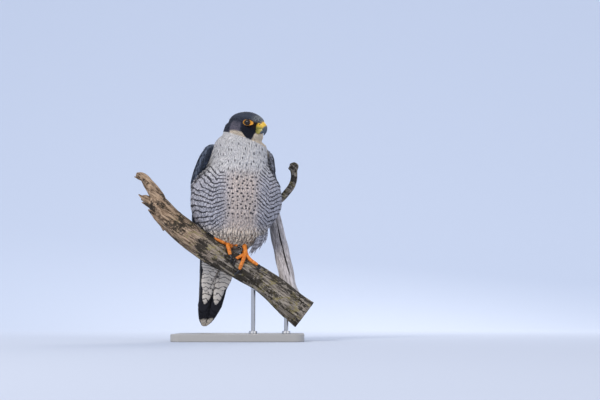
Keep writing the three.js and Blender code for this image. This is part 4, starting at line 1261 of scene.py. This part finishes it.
def undertailMaterial():
    # white with narrow dark chevrons along each feather
    material, shader, point = newMaterial("undertail coverts", 0.8, 0.2)
    across, along = vaneAt(shader)
    off = abs(across - 0.5)
    bars = (along + (noise(point, 150, 2) - 0.5) * 0.10 + off * -0.09).wave(0.105).ramp(0.35, 0.44)
    colour = blend(noise(point, 50, 2), (0.68, 0.62, 0.55), (0.80, 0.76, 0.70))
    colour = blend(bars * 0.85, colour, plumage["mark"])
    barbs = noise(joined(off * 3.0, along * 50.0 + off * 26.0), 2.0, 2)
    plug(shader, "Base Color", shaded(colour, barbs, 0.82, 1.12))
    bumpInto(shader, barbs, 0.0004, 0.6)
    return material


def buildTail():
    i = np.arange(tail["feathers"])
    side = np.where(i % 2, 1, -1)
    outer = 1 - (i // 2) / (tail["feathers"] / 2 - 1)
    tipU = tail["tipU"] + tail["step"] * outer ** 1.7
    rootU = tail["rootU"]
    main = tailTier(
        side * (2 + 9 * outer), side * (2 + 11 * outer), rootU - 4.0, tipU, 1 + i * tail["pitch"], 12.6, 20)
    paint = vaneMaterial(
        "tail feathers", tail["base"], tail["band"], tail["rim"], 0.085, 0.8, tail["tip"], 0.58)
    tailPiece("tailFeathers", main, "tail_plumage", paint, 0.05, "tail")
    under, sides = undertailMaterial(), np.array([-1, 1])
    for k, (rootL, tipL, tipU, half) in enumerate(tail["under"]):
        tipU = tipU + draw.uniform(0, 3, 2)
        lift = np.array([-1.4, -2.6]) - 2.4 * k
        tier = tailTier(sides * rootL, sides * tipL - 1.0, rootU - 6.0, tipU, lift, half, 18, 0.08, 0.76)
        tailPiece("undertailCoverts%d" % (k + 1), tier, "breast_plumage", under, -0.12)
    for k, (reach, lift) in enumerate(tail["over"]):
        l = np.linspace(-14, 14, 5) * (1 - 0.1 * k)
        tipU = rootU + reach - 6 * np.cos(l / 12)
        lift = lift - 0.03 * l ** 2 + 0.2 * np.arange(5)
        tier = tailTier(l, l * 1.25, rootU + 8.0, tipU, lift, 8.0, 10)
        tailPiece("uppertailCoverts%d" % (k + 1), tier, "slate_plumage", wingPaint, 0.14)


def tailStump():
    work = bmesh.new()
    bmesh.ops.create_uvsphere(work, u_segments=28, v_segments=16, radius=1)
    for vert in work.verts:
        x, z, y = vert.co
        vert.co = Vector(tailPoint(x * 26, tail["rootU"] - 4 + y * 17, 2 - z * 13)) * mm
    bmesh.ops.recalc_face_normals(work, faces=work.faces)
    piece = meshFromBmesh("tailStump", work)
    sideUnwrap(piece, -30, 140, 130, 100)
    finish(piece, "tail_plumage", skinPaint)


buildTail()
tailStump()
print("tail ready")


# Swept pieces: a tube of many sides along a smooth line, welded and closed

def closeUp(work):
    bmesh.ops.holes_fill(work, edges=[e for e in work.edges if e.is_boundary], sides=0)
    bmesh.ops.recalc_face_normals(work, faces=work.faces)


def ellipse(angle, high, wide=1.0):
    # from its middle to its rim, at an angle from its upper end
    return 1 / math.hypot(math.cos(angle) / high, math.sin(angle) / wide)


def sweptTube(name, line, reachOf, sides, steps, sideways=(0, 1, 0)):
    # line rows are x, y, z in millimetres; reachOf(share, angle) gives the distance from the line
    middle = curvePoints(line, steps + 1)
    tangent = unit(np.gradient(middle, axis=0))
    aside = unit(np.cross(tangent, np.array(sideways, float)))
    upright = unit(np.cross(aside, tangent))
    work = bmesh.new()
    uv = work.loops.layers.uv.new("OFBake")
    bmesh.ops.create_grid(work, x_segments=sides, y_segments=steps, size=0.5)
    for vert in work.verts:
        turn, share = (min(max(part + 0.5, 0), 1) for part in vert.co.xy)
        for loop in vert.link_loops:
            loop[uv].uv = (0.02 + 0.96 * turn, 0.02 + 0.96 * share)
        i = int(round(share * steps))
        angle = 0.0 if turn > 1 - 1e-5 else 2 * math.pi * turn
        out = upright[i] * math.cos(angle) + aside[i] * math.sin(angle)
        vert.co = Vector(middle[i] + out * reachOf(share, angle)) * mm
    bmesh.ops.remove_doubles(work, verts=work.verts, dist=0.000002)
    closeUp(work)
    return meshFromBmesh(name, work)


# Eyes, lids, cere and bill

eye = {
    "forward": 12.5, "aside": 19.5, "up": 1.2, "radius": 7.6, "opening": 6.2, "ring": 7.2, "corner": 5.4,
    "back": 1.6, "around": 64, "rings": 8, "thick": 1.3, "overBall": 0.55, "overHead": 1.1,
}
bill = {
    "upper": [
        [18, 0.6, 7.4, 9.6], [25, 1.6, 7.4, 9], [31, 1, 7.3, 7.8], [35.8, -1, 6.5, 6.3],
        [39.4, -5.6, 4.8, 4.4], [40.4, -11.4, 2.8, 2.5], [38.8, -17.4, 0.5, 0.5],
    ],
    "lower": [[16, -7.4, 3.4, 8], [25, -8.4, 3.6, 7.4], [32, -9.4, 3.3, 5.8], [38.4, -10.2, 1.3, 2.7]],
    "cereFront": 35, "notch": (0.66, 0.05), "nostril": (0.365, 0.026, 1.6),
    "tuft": (1.2, 3.4, 0.85, 0.7), "candidates": 16000,
}


def eyeMaterial():
    material, shader, point = newMaterial("eye", 0.08, 0.3)
    hf, _, hu = headMask(point)
    far = joined(hf - 13.9, hu - 1.5).vector("LENGTH")
    plug(shader, "Base Color", blend(far.ramp(2.6, 3.4), (0.002, 0.002, 0.002), (0.016, 0.008, 0.005)))
    shader.inputs["Coat Weight"].default_value = 0.15
    shader.inputs["Coat Roughness"].default_value = 0.03
    return material


def buildEyes():
    paint = eyeMaterial()
    for side, key in ((1, "L"), (-1, "R")):
        work = bmesh.new()
        uv = work.loops.layers.uv.new("OFBake")
        bmesh.ops.create_uvsphere(work, u_segments=40, v_segments=24, radius=eye["radius"] * mm)
        center = headPlace(eye["forward"], side * eye["aside"], eye["up"])
        for vert in work.verts:
            for loop in vert.link_loops:
                loop[uv].uv = (0.5 + vert.co.x / 0.02, 0.5 + vert.co.z / 0.02)
            vert.co += Vector(center) * mm
        finish(meshFromBmesh("eyeBall" + key, work), "eye_gloss", paint, "eye_" + key)


def fleshy(shader, point, grain, strength):
    # a little light goes through, and the skin has a fine grain
    shader.inputs["Subsurface Weight"].default_value = 0.1
    shader.inputs["Subsurface Radius"].default_value = (0.002, 0.001, 0.0005)
    bumpInto(shader, noise(point, grain, 2), 0.0002, strength)


def ringMaterial():
    material, shader, point = newMaterial("eye ring skin", 0.42)
    patches = noise(point, 220, 3).ramp(0.35, 0.7)
    plug(shader, "Base Color", blend(patches, (0.74, 0.36, 0.02), (0.58, 0.24, 0.01)))
    fleshy(shader, point, 1500, 0.4)
    return material


def lidRing(side, paint):
    # yellow skin round the eye: narrow above and below, running to a point in front
    outwards = unit(headLeft * side + headForward * 0.28 + headUp * 0.06)
    ahead = flatOn(headForward, outwards)
    above = unit(np.cross(ahead, outwards))
    if above @ headUp < 0:
        above = -above
    center = headPlace(eye["forward"], side * eye["aside"], eye["up"])
    rings = eye["rings"]  # the section runs out over the top and back underneath
    work = bmesh.new()
    uv = work.loops.layers.uv.new("OFBake")
    bmesh.ops.create_grid(work, x_segments=eye["around"], y_segments=2 * rings, size=0.5)
    for vert in work.verts:
        turn, step = vert.co.x + 0.5, (vert.co.y + 0.5) * 2 * rings
        out = (step if step <= rings else 2 * rings - step) / rings
        around, radius = 2 * math.pi * turn, 0.12 + 0.3 * out
        for loop in vert.link_loops:
            loop[uv].uv = (0.5 + radius * math.cos(around), 0.5 + radius * math.sin(around))
        angle = 0.0 if turn > 1 - 1e-5 else around
        forwards = math.cos(angle)
        wide = eye["ring"] + eye["corner"] * max(0, forwards) ** 6 + eye["back"] * max(0, -forwards) ** 3
        reach = lerp(eye["opening"], wide, out)
        direction = ahead * forwards + above * math.sin(angle) * lerp(0.90, 0.84, out)
        flat = center + direction * reach
        ball = math.sqrt(max(eye["radius"] ** 2 - min(reach, 7.0) ** 2, 0.2)) + eye["overBall"]
        nearest = np.array(skinSurface["tree"].find_nearest(Vector(flat + outwards * 3.5))[0])
        onHead = (nearest - center) @ outwards + eye["overHead"]
        height = lerp(ball, onHead, float(smoothstep(out, 0.1, 0.75)))
        if step > rings:
            height -= eye["thick"] * math.sin(math.pi * (1 - out) * 0.5 + 0.25)
        vert.co = Vector(flat + outwards * (height - 0.35 * out ** 4)) * mm
    bmesh.ops.remove_doubles(work, verts=work.verts, dist=0.000005)
    bmesh.ops.recalc_face_normals(work, faces=work.faces)
    finish(meshFromBmesh("lidRing" + ("L" if side > 0 else "R"), work), "cere_skin", paint)


def billReach(line):
    rows = [[i / (len(line) - 1), high, wide] for i, (_, _, high, wide) in enumerate(line)]

    def reach(share, angle):
        _, high, wide = tableAt(rows, share)
        return ellipse(angle, high, wide) * max(min(1, share / 0.03) ** 0.5, 0.02)

    return reach


def billMaterial():
    # slate horn, paler and greener towards its root, with a dark point
    material, shader, point = newMaterial("bill horn", 0.3)
    hf, _, hu = headMask(point)
    colour = blend((hf - hu * 0.9).ramp(35, 45), (0.24, 0.27, 0.19), (0.055, 0.075, 0.105))
    colour = blend(hu.ramp(-12, -17), colour, (0.016, 0.018, 0.024))
    root = (hf * 0.8 - hu * 0.6 + noise(point, 400, 2) * 2.0).ramp(35.0, 32.0)
    yellow = blend(hu.ramp(-2, -7), (0.70, 0.44, 0.04), (0.42, 0.36, 0.08))
    plug(shader, "Base Color", blend(root, colour, yellow))
    bumpInto(shader, noise(point, 900, 2), 0.0002, 0.25)
    return material


def cereMaterial():
    # yellow, greener below, with a near-black spot of painted shade in each nostril's dent
    material, shader, point = newMaterial("cere skin", 0.4)
    hf, _, hu = headMask(point)
    colour = blend(noise(point, 260, 2), (0.62, 0.36, 0.03), (0.78, 0.50, 0.05))
    colour = blend(hu.ramp(0, -6), colour, (0.40, 0.36, 0.07))
    colour = blend(hu.ramp(-5, -7.5) * hf.ramp(30, 35), colour, (0.34, 0.34, 0.14))
    # painted shade in each nostril
    nostrilShade = joined(hf - 30.6, hu - 2.2).vector("LENGTH").ramp(1.5, 1.0)
    plug(shader, "Base Color", blend(nostrilShade, colour, (0.01, 0.008, 0.006)))
    fleshy(shader, point, 1400, 0.3)
    return material


def onCere(points):
    # over the top of the cere, with a ragged front
    hf, _, hu = inHead(points)
    return (hf < 35) & (hf > 21) & (hu > 6.2 - 0.4 * (hf - 27) + draw.normal(0, 0.3, len(points)))


def billTube(name, key, reach, sides, steps):
    line = [headPlace(f, 0, u) for f, u, _, _ in bill[key]]
    return sweptTube(name, line, reach, sides, steps, headLeft)


def cutAcross(piece, forwards, keepFront):
    # cut square to the head's forward line and closed there
    work = bmesh.new()
    work.from_mesh(piece.data)
    spot = Vector(headPlace(forwards, 0, 0)) * mm
    bmesh.ops.bisect_plane(
        work, geom=work.verts[:] + work.edges[:] + work.faces[:], plane_co=spot,
        plane_no=Vector(headForward), clear_inner=keepFront, clear_outer=not keepFront)
    closeUp(work)
    work.to_mesh(piece.data)
    work.free()


def buildBill():
    # a tube's angle 0 points up the head
    horn, upper = billMaterial(), billReach(bill["upper"])

    def hornReach(share, angle):
        spot, wide = bill["notch"]
        notch = 0.10 * math.exp(-((share - spot) / wide) ** 2) * max(0, -math.cos(angle))
        return upper(share, angle) * (1 - notch)

    def cereReach(share, angle):
        spot, wide, deep = bill["nostril"]
        holes = 0
        for turn in (math.pi / 2 - 0.12, 3 * math.pi / 2 + 0.12):
            holes += math.exp(-((share - spot) / wide) ** 2 - ((angle - turn) / 0.15) ** 2)
        return upper(share, angle) * (1.05 - 0.03 * math.cos(2 * angle)) - deep * holes

    whole = billTube("billHorn", "upper", hornReach, 44, 60)
    cutAcross(whole, bill["cereFront"], True)
    finish(whole, "bill_horn", horn, "bill_upper")
    cere = billTube("cereSkin", "upper", cereReach, 72, 120)
    dress(
        "foreheadTufts", "hood_plumage", coatPaint, surfaceOf(cere), bill["candidates"], alike(bill["tuft"]),
        steady(*(headUp * 0.4 - headForward)), onCere, 0.2, rows=4, fray=0.4)
    cutAcross(cere, bill["cereFront"] + 0.6, False)
    finish(cere, "cere_skin", cereMaterial(), "cere")
    finish(billTube("billLower", "lower", billReach(bill["lower"]), 40, 36), "bill_horn", horn, "bill_lower")


buildEyes()
ringPaint = ringMaterial()
for lidSide in (1, -1):
    lidRing(lidSide, ringPaint)
buildBill()
print("eyes and bill ready")


# Wood: the branch, its broken end, the split side prong and its hooked end

def plainMaterial(name, colour, rough, metallic=0.0, grain=0.0):
    material, shader, point = newMaterial(name, rough)
    plug(shader, "Base Color", blend(noise(point, 30, 3), colour, times(colour, 0.94)))
    shader.inputs["Metallic"].default_value = metallic
    if grain:
        bumpInto(shader, noise(point, 2500, 2), 0.0001, grain)
    return material


def woodReach(line, length, flatness):
    # bark with creases, knots, furrows and a fine relief, on a round or flattened section
    rows = [[i / (len(line) - 1), row[3]] for i, row in enumerate(line)]

    def reach(share, angle):
        radius = tableAt(rows, share)[1]
        along = share * length
        x, y = math.cos(angle), math.sin(angle)
        coarse = noiseAt(Vector((x * 1.6, y * 1.6, along / 34 + wood["seed"])))
        furrow = noiseAt(Vector((x * 5.5, y * 5.5, along / 46)))
        fine = noiseAt(Vector((x * 15, y * 15, along / 30 + 7)))
        split = max(0.0, 1 - abs(furrow) / 0.14) ** 2
        relief = 0.045 * coarse - 0.060 * split + 0.032 * fine
        creases = 0.035 * math.sin(5 * angle + 9 * share) + 0.03 * math.sin(3 * angle - 14 * share + 1)
        knots = 0.05 * math.sin(21 * share) * math.cos(angle - 5 * share)
        return radius * (1 + creases + knots) * ellipse(angle, flatness) * (1 + relief)

    return reach


def woodMaterial(name, grain, tones, mottled):
    # fibres along the grain, dark furrows between plates, and patches of darker and mossy bark
    material, shader, point = newMaterial(name, 0.9, 0.2)
    lengthwise = point.dot(grain)
    stretched = point.vector("ADD", joined(*(lengthwise * (part * -0.9) for part in grain)))
    fibres = noise(stretched, 420, 4, 0.65)
    plates = noise(stretched, 120, 4, 0.6)
    patch = noise(point, 30, 4, 0.65)
    colour = blend(fibres.ramp(0.3, 0.7), *tones["grey"])
    if mottled:
        x = point.parts()[0]
        tan = blend(fibres.ramp(0.3, 0.7), *tones["tan"])
        colour = blend((x + patch * 0.06).ramp(0.015, -0.10), colour, tan)
        speckle = noise(point, 260, 4, 0.7)
        lichen = (noise(point, 80, 4, 0.7) + (speckle - 0.5) * 0.7).ramp(0.53, 0.60)
        lichen = lichen * (x + patch * 0.05).ramp(-0.12, -0.05)
        colour = blend(lichen * 0.8, colour, tones["moss"])
        dark = plates * 0.6 + speckle * 0.4 + (patch - 0.5) * 0.8 + x.ramp(-0.15, 0.0) * 0.07
        colour = blend(dark.ramp(0.53, 0.59) * 0.9, colour, tones["dark"])
    else:
        colour = blend(plates.ramp(0.58, 0.70) * 0.6, colour, tones["dark"])
    furrow = abs(plates - 0.5).ramp(0.022, 0.0) * (0.8 if mottled else 0.35)
    plug(shader, "Base Color", blend(furrow, colour, (0.014, 0.012, 0.010)))
    bumpInto(shader, fibres + plates * 1.8 - furrow, 0.002, 0.9)
    return material


woodTones = {
    "grey": ((0.10, 0.085, 0.07), (0.42, 0.37, 0.31)), "tan": ((0.13, 0.08, 0.045), (0.52, 0.38, 0.26)),
    "moss": (0.27, 0.23, 0.10), "dark": (0.028, 0.024, 0.019),
}
prongTones = {"grey": ((0.30, 0.275, 0.27), (0.68, 0.645, 0.65)), "dark": (0.12, 0.10, 0.095)}


def buildCrackShadow(prong):
    # the long split on the prong's front, drawn as a thin dark strip on its surface: painted shade in the
    # split
    tree = surfaceOf(prong)["tree"]
    line = []
    for x, z in wood["crackShadow"]:
        spot = tree.ray_cast(Vector((x, -60, z)), Vector((0, 1, 0)))[0]
        line.append(spot + Vector((0, 0.5, 0)))

    def reach(share, angle):
        half = wood["crackShadowHalf"] * math.sin(math.pi * min(max(share, 0.01), 0.99)) ** 0.5
        return half * ellipse(angle, 0.7)

    # near-black paint for the split: painted shade
    shadowPaint = plainMaterial("crackShadow", (0.022, 0.018, 0.016), 0.9)
    finish(sweptTube("prongCrackShadow", line, reach, 12, 60), "weathered_wood", shadowPaint)


def buildWood():
    bark = woodMaterial("branch wood", (0.83, 0.0, -0.56), woodTones, True)
    bare = woodMaterial("prong wood", (-0.2, 0.45, 0.87), prongTones, False)
    thin = wood["splinterFlat"]
    # name, middle line, length, sides, steps, paint, flatness and the node it replaces
    specs = [
        ("branchWood", "branch", 340, 96, 190, bark, 1.0, "perch_branch"),
        ("branchSpike", "spike", 90, 40, 60, bark, 1.0),
        ("branchStub", "stub", 45, 36, 30, bark, 1.0),
        ("splinterUnder", "splinterUnder", 50, 28, 30, bark, thin),
        ("splinterEnd", "splinterEnd", 28, 20, 20, bark, thin),
        ("splinterLow", "splinterLow", 26, 20, 20, bark, thin),
        ("splinterTip", "splinterTip", 20, 16, 16, bark, thin),
        ("prongWood", "prong", 220, 80, 130, bare, wood["prongFlat"], "perch_prong"),
        ("hookWood", "hook", 110, 48, 90, bark, 1.0, "perch_hook"),
    ]
    for name, key, length, sides, steps, paint, flat, *nodes in specs:
        line = [row[:3] for row in wood[key]]
        piece = sweptTube(name, line, woodReach(wood[key], length, flat), sides, steps)
        finish(piece, "weathered_wood", paint, *nodes)
        if key == "prong":
            buildCrackShadow(piece)


buildWood()
print("wood ready")


# Legs and feet

feet = {
    # each toe: its line along, round and off the branch, its claw's line, and its radius
    "R": {
        "x": -32, "around": 4, "knee": (-17, 4, -66),
        "toes": [
            ([(-3, 26, 1), (2, 42, 0.5), (6, 54, 0), (10, 64, 0)],
             [(13, 71, 5), (16, 82, 4), (18, 96, 1.4)], 3.6),
            ([(-6, 12, 1), (-12, 22, 0), (-20, 28, 0), (-28, 27, 0)],
             [(-33, 24, 5), (-38, 24, 4), (-42, 31, 1)], 3.3),
            ([(2, 3, 4), (5, 4, 7), (8, 5, 8), (11, 6, 7)],
             [(17, 10, 12), (21, 18, 8.5), (18, 25, 1.2)], 3.3),
            ([(0, -22, 1), (1, -50, 0), (2, -74, 0), (2, -92, 0)],
             [(2, -104, 5), (2, -120, 4), (2, -132, 1)], 3.4),
        ],
    },
    "L": {
        "x": -2, "around": 12, "knee": (14, 8, -70),
        "toes": [
            ([(0, 28, 1), (2, 52, 0), (3.5, 76, 0), (5, 98, 0)],
             [(4, 110, 5), (2, 124, 4), (0, 134, 1)], 3.6),
            ([(5, 18, 1), (12, 28, 0), (20, 33, 0), (27, 36, 0)],
             [(31, 46, 5), (28, 60, 4), (20, 68, 1.2)], 3.4),
            ([(-4, 30, 1), (-6, 44, 0), (-8, 56, 0), (-9, 65, 0)],
             [(-9, 75, 5), (-8, 87, 4), (-7, 97, 1)], 3),
            ([(0, -20, 1), (1, -48, 0), (2, -72, 0), (2, -90, 0)],
             [(2, -102, 5), (2, -118, 4), (2, -130, 1)], 3.4),
        ],
    },
}


def onBranch(x, degrees, lift):
    row, ahead, behind = (tableAt(wood["branch"], np.array(v)) for v in (x, x + 1, x - 1))
    along = unit(ahead[:3] - behind[:3])
    front = np.array([0, -1.0, 0])
    up = unit(np.cross(front, along))
    if up[2] < 0:
        up = -up
    reach = row[3] * 1.04 + lift
    a = math.radians(degrees)
    return row[:3] + up * math.cos(a) * reach + front * math.sin(a) * reach


def footMaterial():
    # orange skin in small scales
    material, shader, point = newMaterial("foot skin", 0.5)
    colour = blend(noise(point, 180, 2).ramp(0.35, 0.65), (0.72, 0.20, 0.015), (0.90, 0.30, 0.03))
    far, _ = cells(point, 800, 0.8, "3D")
    plug(shader, "Base Color", blend(far.ramp(0.45, 0.75), colour, (0.42, 0.10, 0.01)))
    bumpInto(shader, far * -1.0, 0.0005, 0.7)
    return material


def hornMaterial():
    material, shader, point = newMaterial("claw horn", 0.22)
    plug(shader, "Base Color", blend(noise(point, 300, 2), (0.006, 0.006, 0.007), (0.02, 0.02, 0.023)))
    return material


def toeReach(radius, length):
    def reach(share, angle):
        ends = max(0.0, 1 - (2 * share - 1) ** 12) ** 0.5
        pads = 1 + 0.09 * math.cos(8 * math.pi * share) * max(0, -math.cos(angle))
        top = max(0.0, math.cos(angle)) ** 0.6
        scutes = 1 + 0.05 * top * abs(math.sin(share * length / 2.6 * math.pi)) ** 0.5
        return radius * lerp(1.1, 0.88, share) * pads * scutes * ends

    return reach


def clawReach(radius):
    return lambda share, angle: lerp(radius * 0.92, 0.25, share ** 1.2) * min(1, 14 * share + 0.05) ** 0.5


def tarsusReach(share, angle):
    ends = max(0.0, 1 - (2 * share - 1) ** 8) ** 0.5
    scutes = 1 + 0.05 * max(0.0, math.cos(angle)) * abs(math.sin(share * 14 * math.pi)) ** 0.5
    return lerp(5.4, 4.6, share) * ends * scutes


def footSpots(foot, rows, lift=0.0):
    return [onBranch(foot["x"] + dx, degrees, lift + more) for dx, degrees, more in rows]


def buildFeet():
    paint, horn = footMaterial(), hornMaterial()
    for key, foot in feet.items():
        parts = []
        for points, _, radius in foot["toes"]:
            line = [onBranch(foot["x"], foot["around"], radius + 2.5)] + footSpots(foot, points, radius - 0.3)
            length = float(np.linalg.norm(np.diff(np.array(line), axis=0), axis=1).sum())
            parts.append(sweptTube("toe", line, toeReach(radius, length), 20, 60))
        bottom = onBranch(foot["x"], foot["around"], 4.5)
        top = place(*foot["knee"])
        tarsus = [bottom, bottom * 0.75 + top * 0.25, (bottom + top) / 2, top]
        parts.append(sweptTube("tarsus", tarsus, tarsusReach, 24, 70))
        work = bmesh.new()
        for part in parts:
            work.from_mesh(part.data)
            bpy.data.objects.remove(part)
        ankle = bmesh.ops.create_uvsphere(work, u_segments=24, v_segments=14, radius=6.2 * mm)
        spot = Vector(onBranch(foot["x"], foot["around"], 4.2)) * mm
        bmesh.ops.translate(work, verts=ankle["verts"], vec=spot)
        finish(meshFromBmesh("foot" + key, work), "foot_skin", paint, "foot_" + key)
        for i, (points, claw, radius) in enumerate(foot["toes"]):
            line = footSpots(foot, points[-1:], radius - 0.3) + footSpots(foot, claw)
            piece = sweptTube("claw%s%d" % (key, i + 1), line, clawReach(radius), 20, 36)
            finish(piece, "claw_horn", horn, "claw_%s_%d" % (key, i + 1))


buildFeet()
print("feet ready")


# Display stand

stand = {
    "halfX": 122, "halfY": 92, "thick": 14, "middleY": 18, "corner": 18, "bevel": 1.6, "collar": 8.5,
    "collarHigh": 5, "collarBevel": 0.6,
}


def level(edge):
    return abs(edge.verts[0].co.z - edge.verts[1].co.z) < 0.0001


def bevel(work, edges, offset, segments):
    bmesh.ops.bevel(
        work, geom=edges, offset=offset * mm, affect="EDGES", segments=segments, profile=0.5, material=-1)


def atCorner(edge):
    # where a level and an upright face meet
    return len(edge.link_faces) == 2 and abs(edge.link_faces[0].normal.z - edge.link_faces[1].normal.z) > 0.5


def buildStand():
    paint = plainMaterial("stand paint", (0.40, 0.39, 0.37), 0.42, grain=0.25)
    steel = plainMaterial("rod steel", (0.56, 0.57, 0.58), 0.28, 1.0)
    work = bmesh.new()
    bmesh.ops.create_cube(work, size=1)
    for vert in work.verts:
        x, y, z = vert.co
        y = y * 2 * stand["halfY"] + stand["middleY"]
        vert.co = Vector((x * 2 * stand["halfX"], y, (z + 0.5) * stand["thick"])) * mm
    bevel(work, [e for e in work.edges if not level(e)], stand["corner"], 14)
    bevel(work, [e for e in work.edges if level(e) and atCorner(e)], stand["bevel"], 3)
    finish(meshFromBmesh("standBase", work, False), "stand_paint", paint, "stand_base")
    for i in (1, 2):
        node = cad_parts["stand_rod_%d" % i]
        node.data.materials.clear()
        node.data.materials.append(steel)
        middle = sum(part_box("stand_rod_%d" % i), Vector()) / 2
        work = bmesh.new()
        wide = stand["collar"] * mm
        high = stand["collarHigh"] * mm
        bmesh.ops.create_cone(
            work, cap_ends=True, segments=48, radius1=wide, radius2=wide * 0.9, depth=high)
        spot = Vector((middle.x, middle.y, (stand["thick"] + 2.6) * mm))
        bmesh.ops.translate(work, verts=work.verts, vec=spot)
        bevel(work, [e for e in work.edges if level(e)], stand["collarBevel"], 2)
        finish(meshFromBmesh("rodCollar%d" % i, work, False), "rod_steel", steel)


buildStand()
print("stand ready")


# Studio: a pale floor that curves up behind, soft light and the camera

studio = {
    "camera": (0.114, -2.0, 0.045), "aim": (0.114, 0.0, 0.266), "pixelAtAim": 0.0019, "imageWide": 600,
    # the near floor's colour is darker: painted shade that cancels the lamps' extra light there
    "floor": (0.82, 0.89, 0.99), "nearFloorShade": (0.49, 0.54, 0.63), "world": (0.82, 0.88, 1.06),
    "worldStrength": 0.77, "lampColour": (1.0, 0.93, 0.84), "lampAim": (0, 0, 0.25),
    # name, place, size and power
    "lamps": [
        ("keyLight", (-1.3, -1.9, 1.7), 1.1, 42), ("fillLight", (1.9, -1.5, 1.0), 1.6, 8),
        ("backLight", (0.6, 1.7, 1.7), 1.0, 16),
    ],
}


def lookingAt(aim, spot, name, data):
    # a lamp or camera at a spot
    thing = bpy.data.objects.new(name, data)
    bpy.context.scene.collection.objects.link(thing)
    way = Vector(aim) - Vector(spot)
    thing.matrix_world = Matrix.Translation(spot) @ way.to_track_quat("-Z", "Y").to_matrix().to_4x4()
    return thing


def buildFloor():
    work = bmesh.new()
    bmesh.ops.create_grid(work, x_segments=2, y_segments=60, size=1)
    for vert in work.verts:
        y = lerp(-6, 9, (vert.co.y + 1) / 2)
        vert.co = Vector((vert.co.x * 14, y, 0.16 * max(0, y - 1.6) ** 2))
    floor = meshFromBmesh("studioFloor", work)
    material, shader, point = newMaterial("studio floor", 0.9)
    # painted shade: the floor darker towards the camera, to cancel the lamps' extra light there
    plug(shader, "Base Color", blend(point.parts()[1].ramp(-1.0, 3.0), studio["nearFloorShade"], studio["floor"]))
    floor.data.materials.append(material)


def buildStudio():
    buildFloor()
    world = bpy.data.worlds.new("studio world")
    world.use_nodes = True
    background = world.node_tree.nodes["Background"]
    background.inputs[0].default_value = (*studio["world"], 1)
    background.inputs[1].default_value = studio["worldStrength"]
    scene = bpy.context.scene
    scene.world = world
    for name, spot, size, power in studio["lamps"]:
        data = bpy.data.lights.new(name, "AREA")
        data.shape = "DISK"
        data.size = size
        data.energy = power
        data.color = studio["lampColour"]
        lookingAt(studio["lampAim"], spot, name, data)
    data = bpy.data.cameras.new("photoCamera")
    data.sensor_fit = "HORIZONTAL"
    data.sensor_width = 36
    far = (Vector(studio["aim"]) - Vector(studio["camera"])).length
    data.lens = data.sensor_width * far / (studio["pixelAtAim"] * studio["imageWide"])
    data.clip_end = 50
    scene.camera = lookingAt(studio["aim"], studio["camera"], "photoCamera", data)
    scene.view_settings.view_transform = "Standard"


buildStudio()
bpy.context.view_layer.update()
print("studio ready")
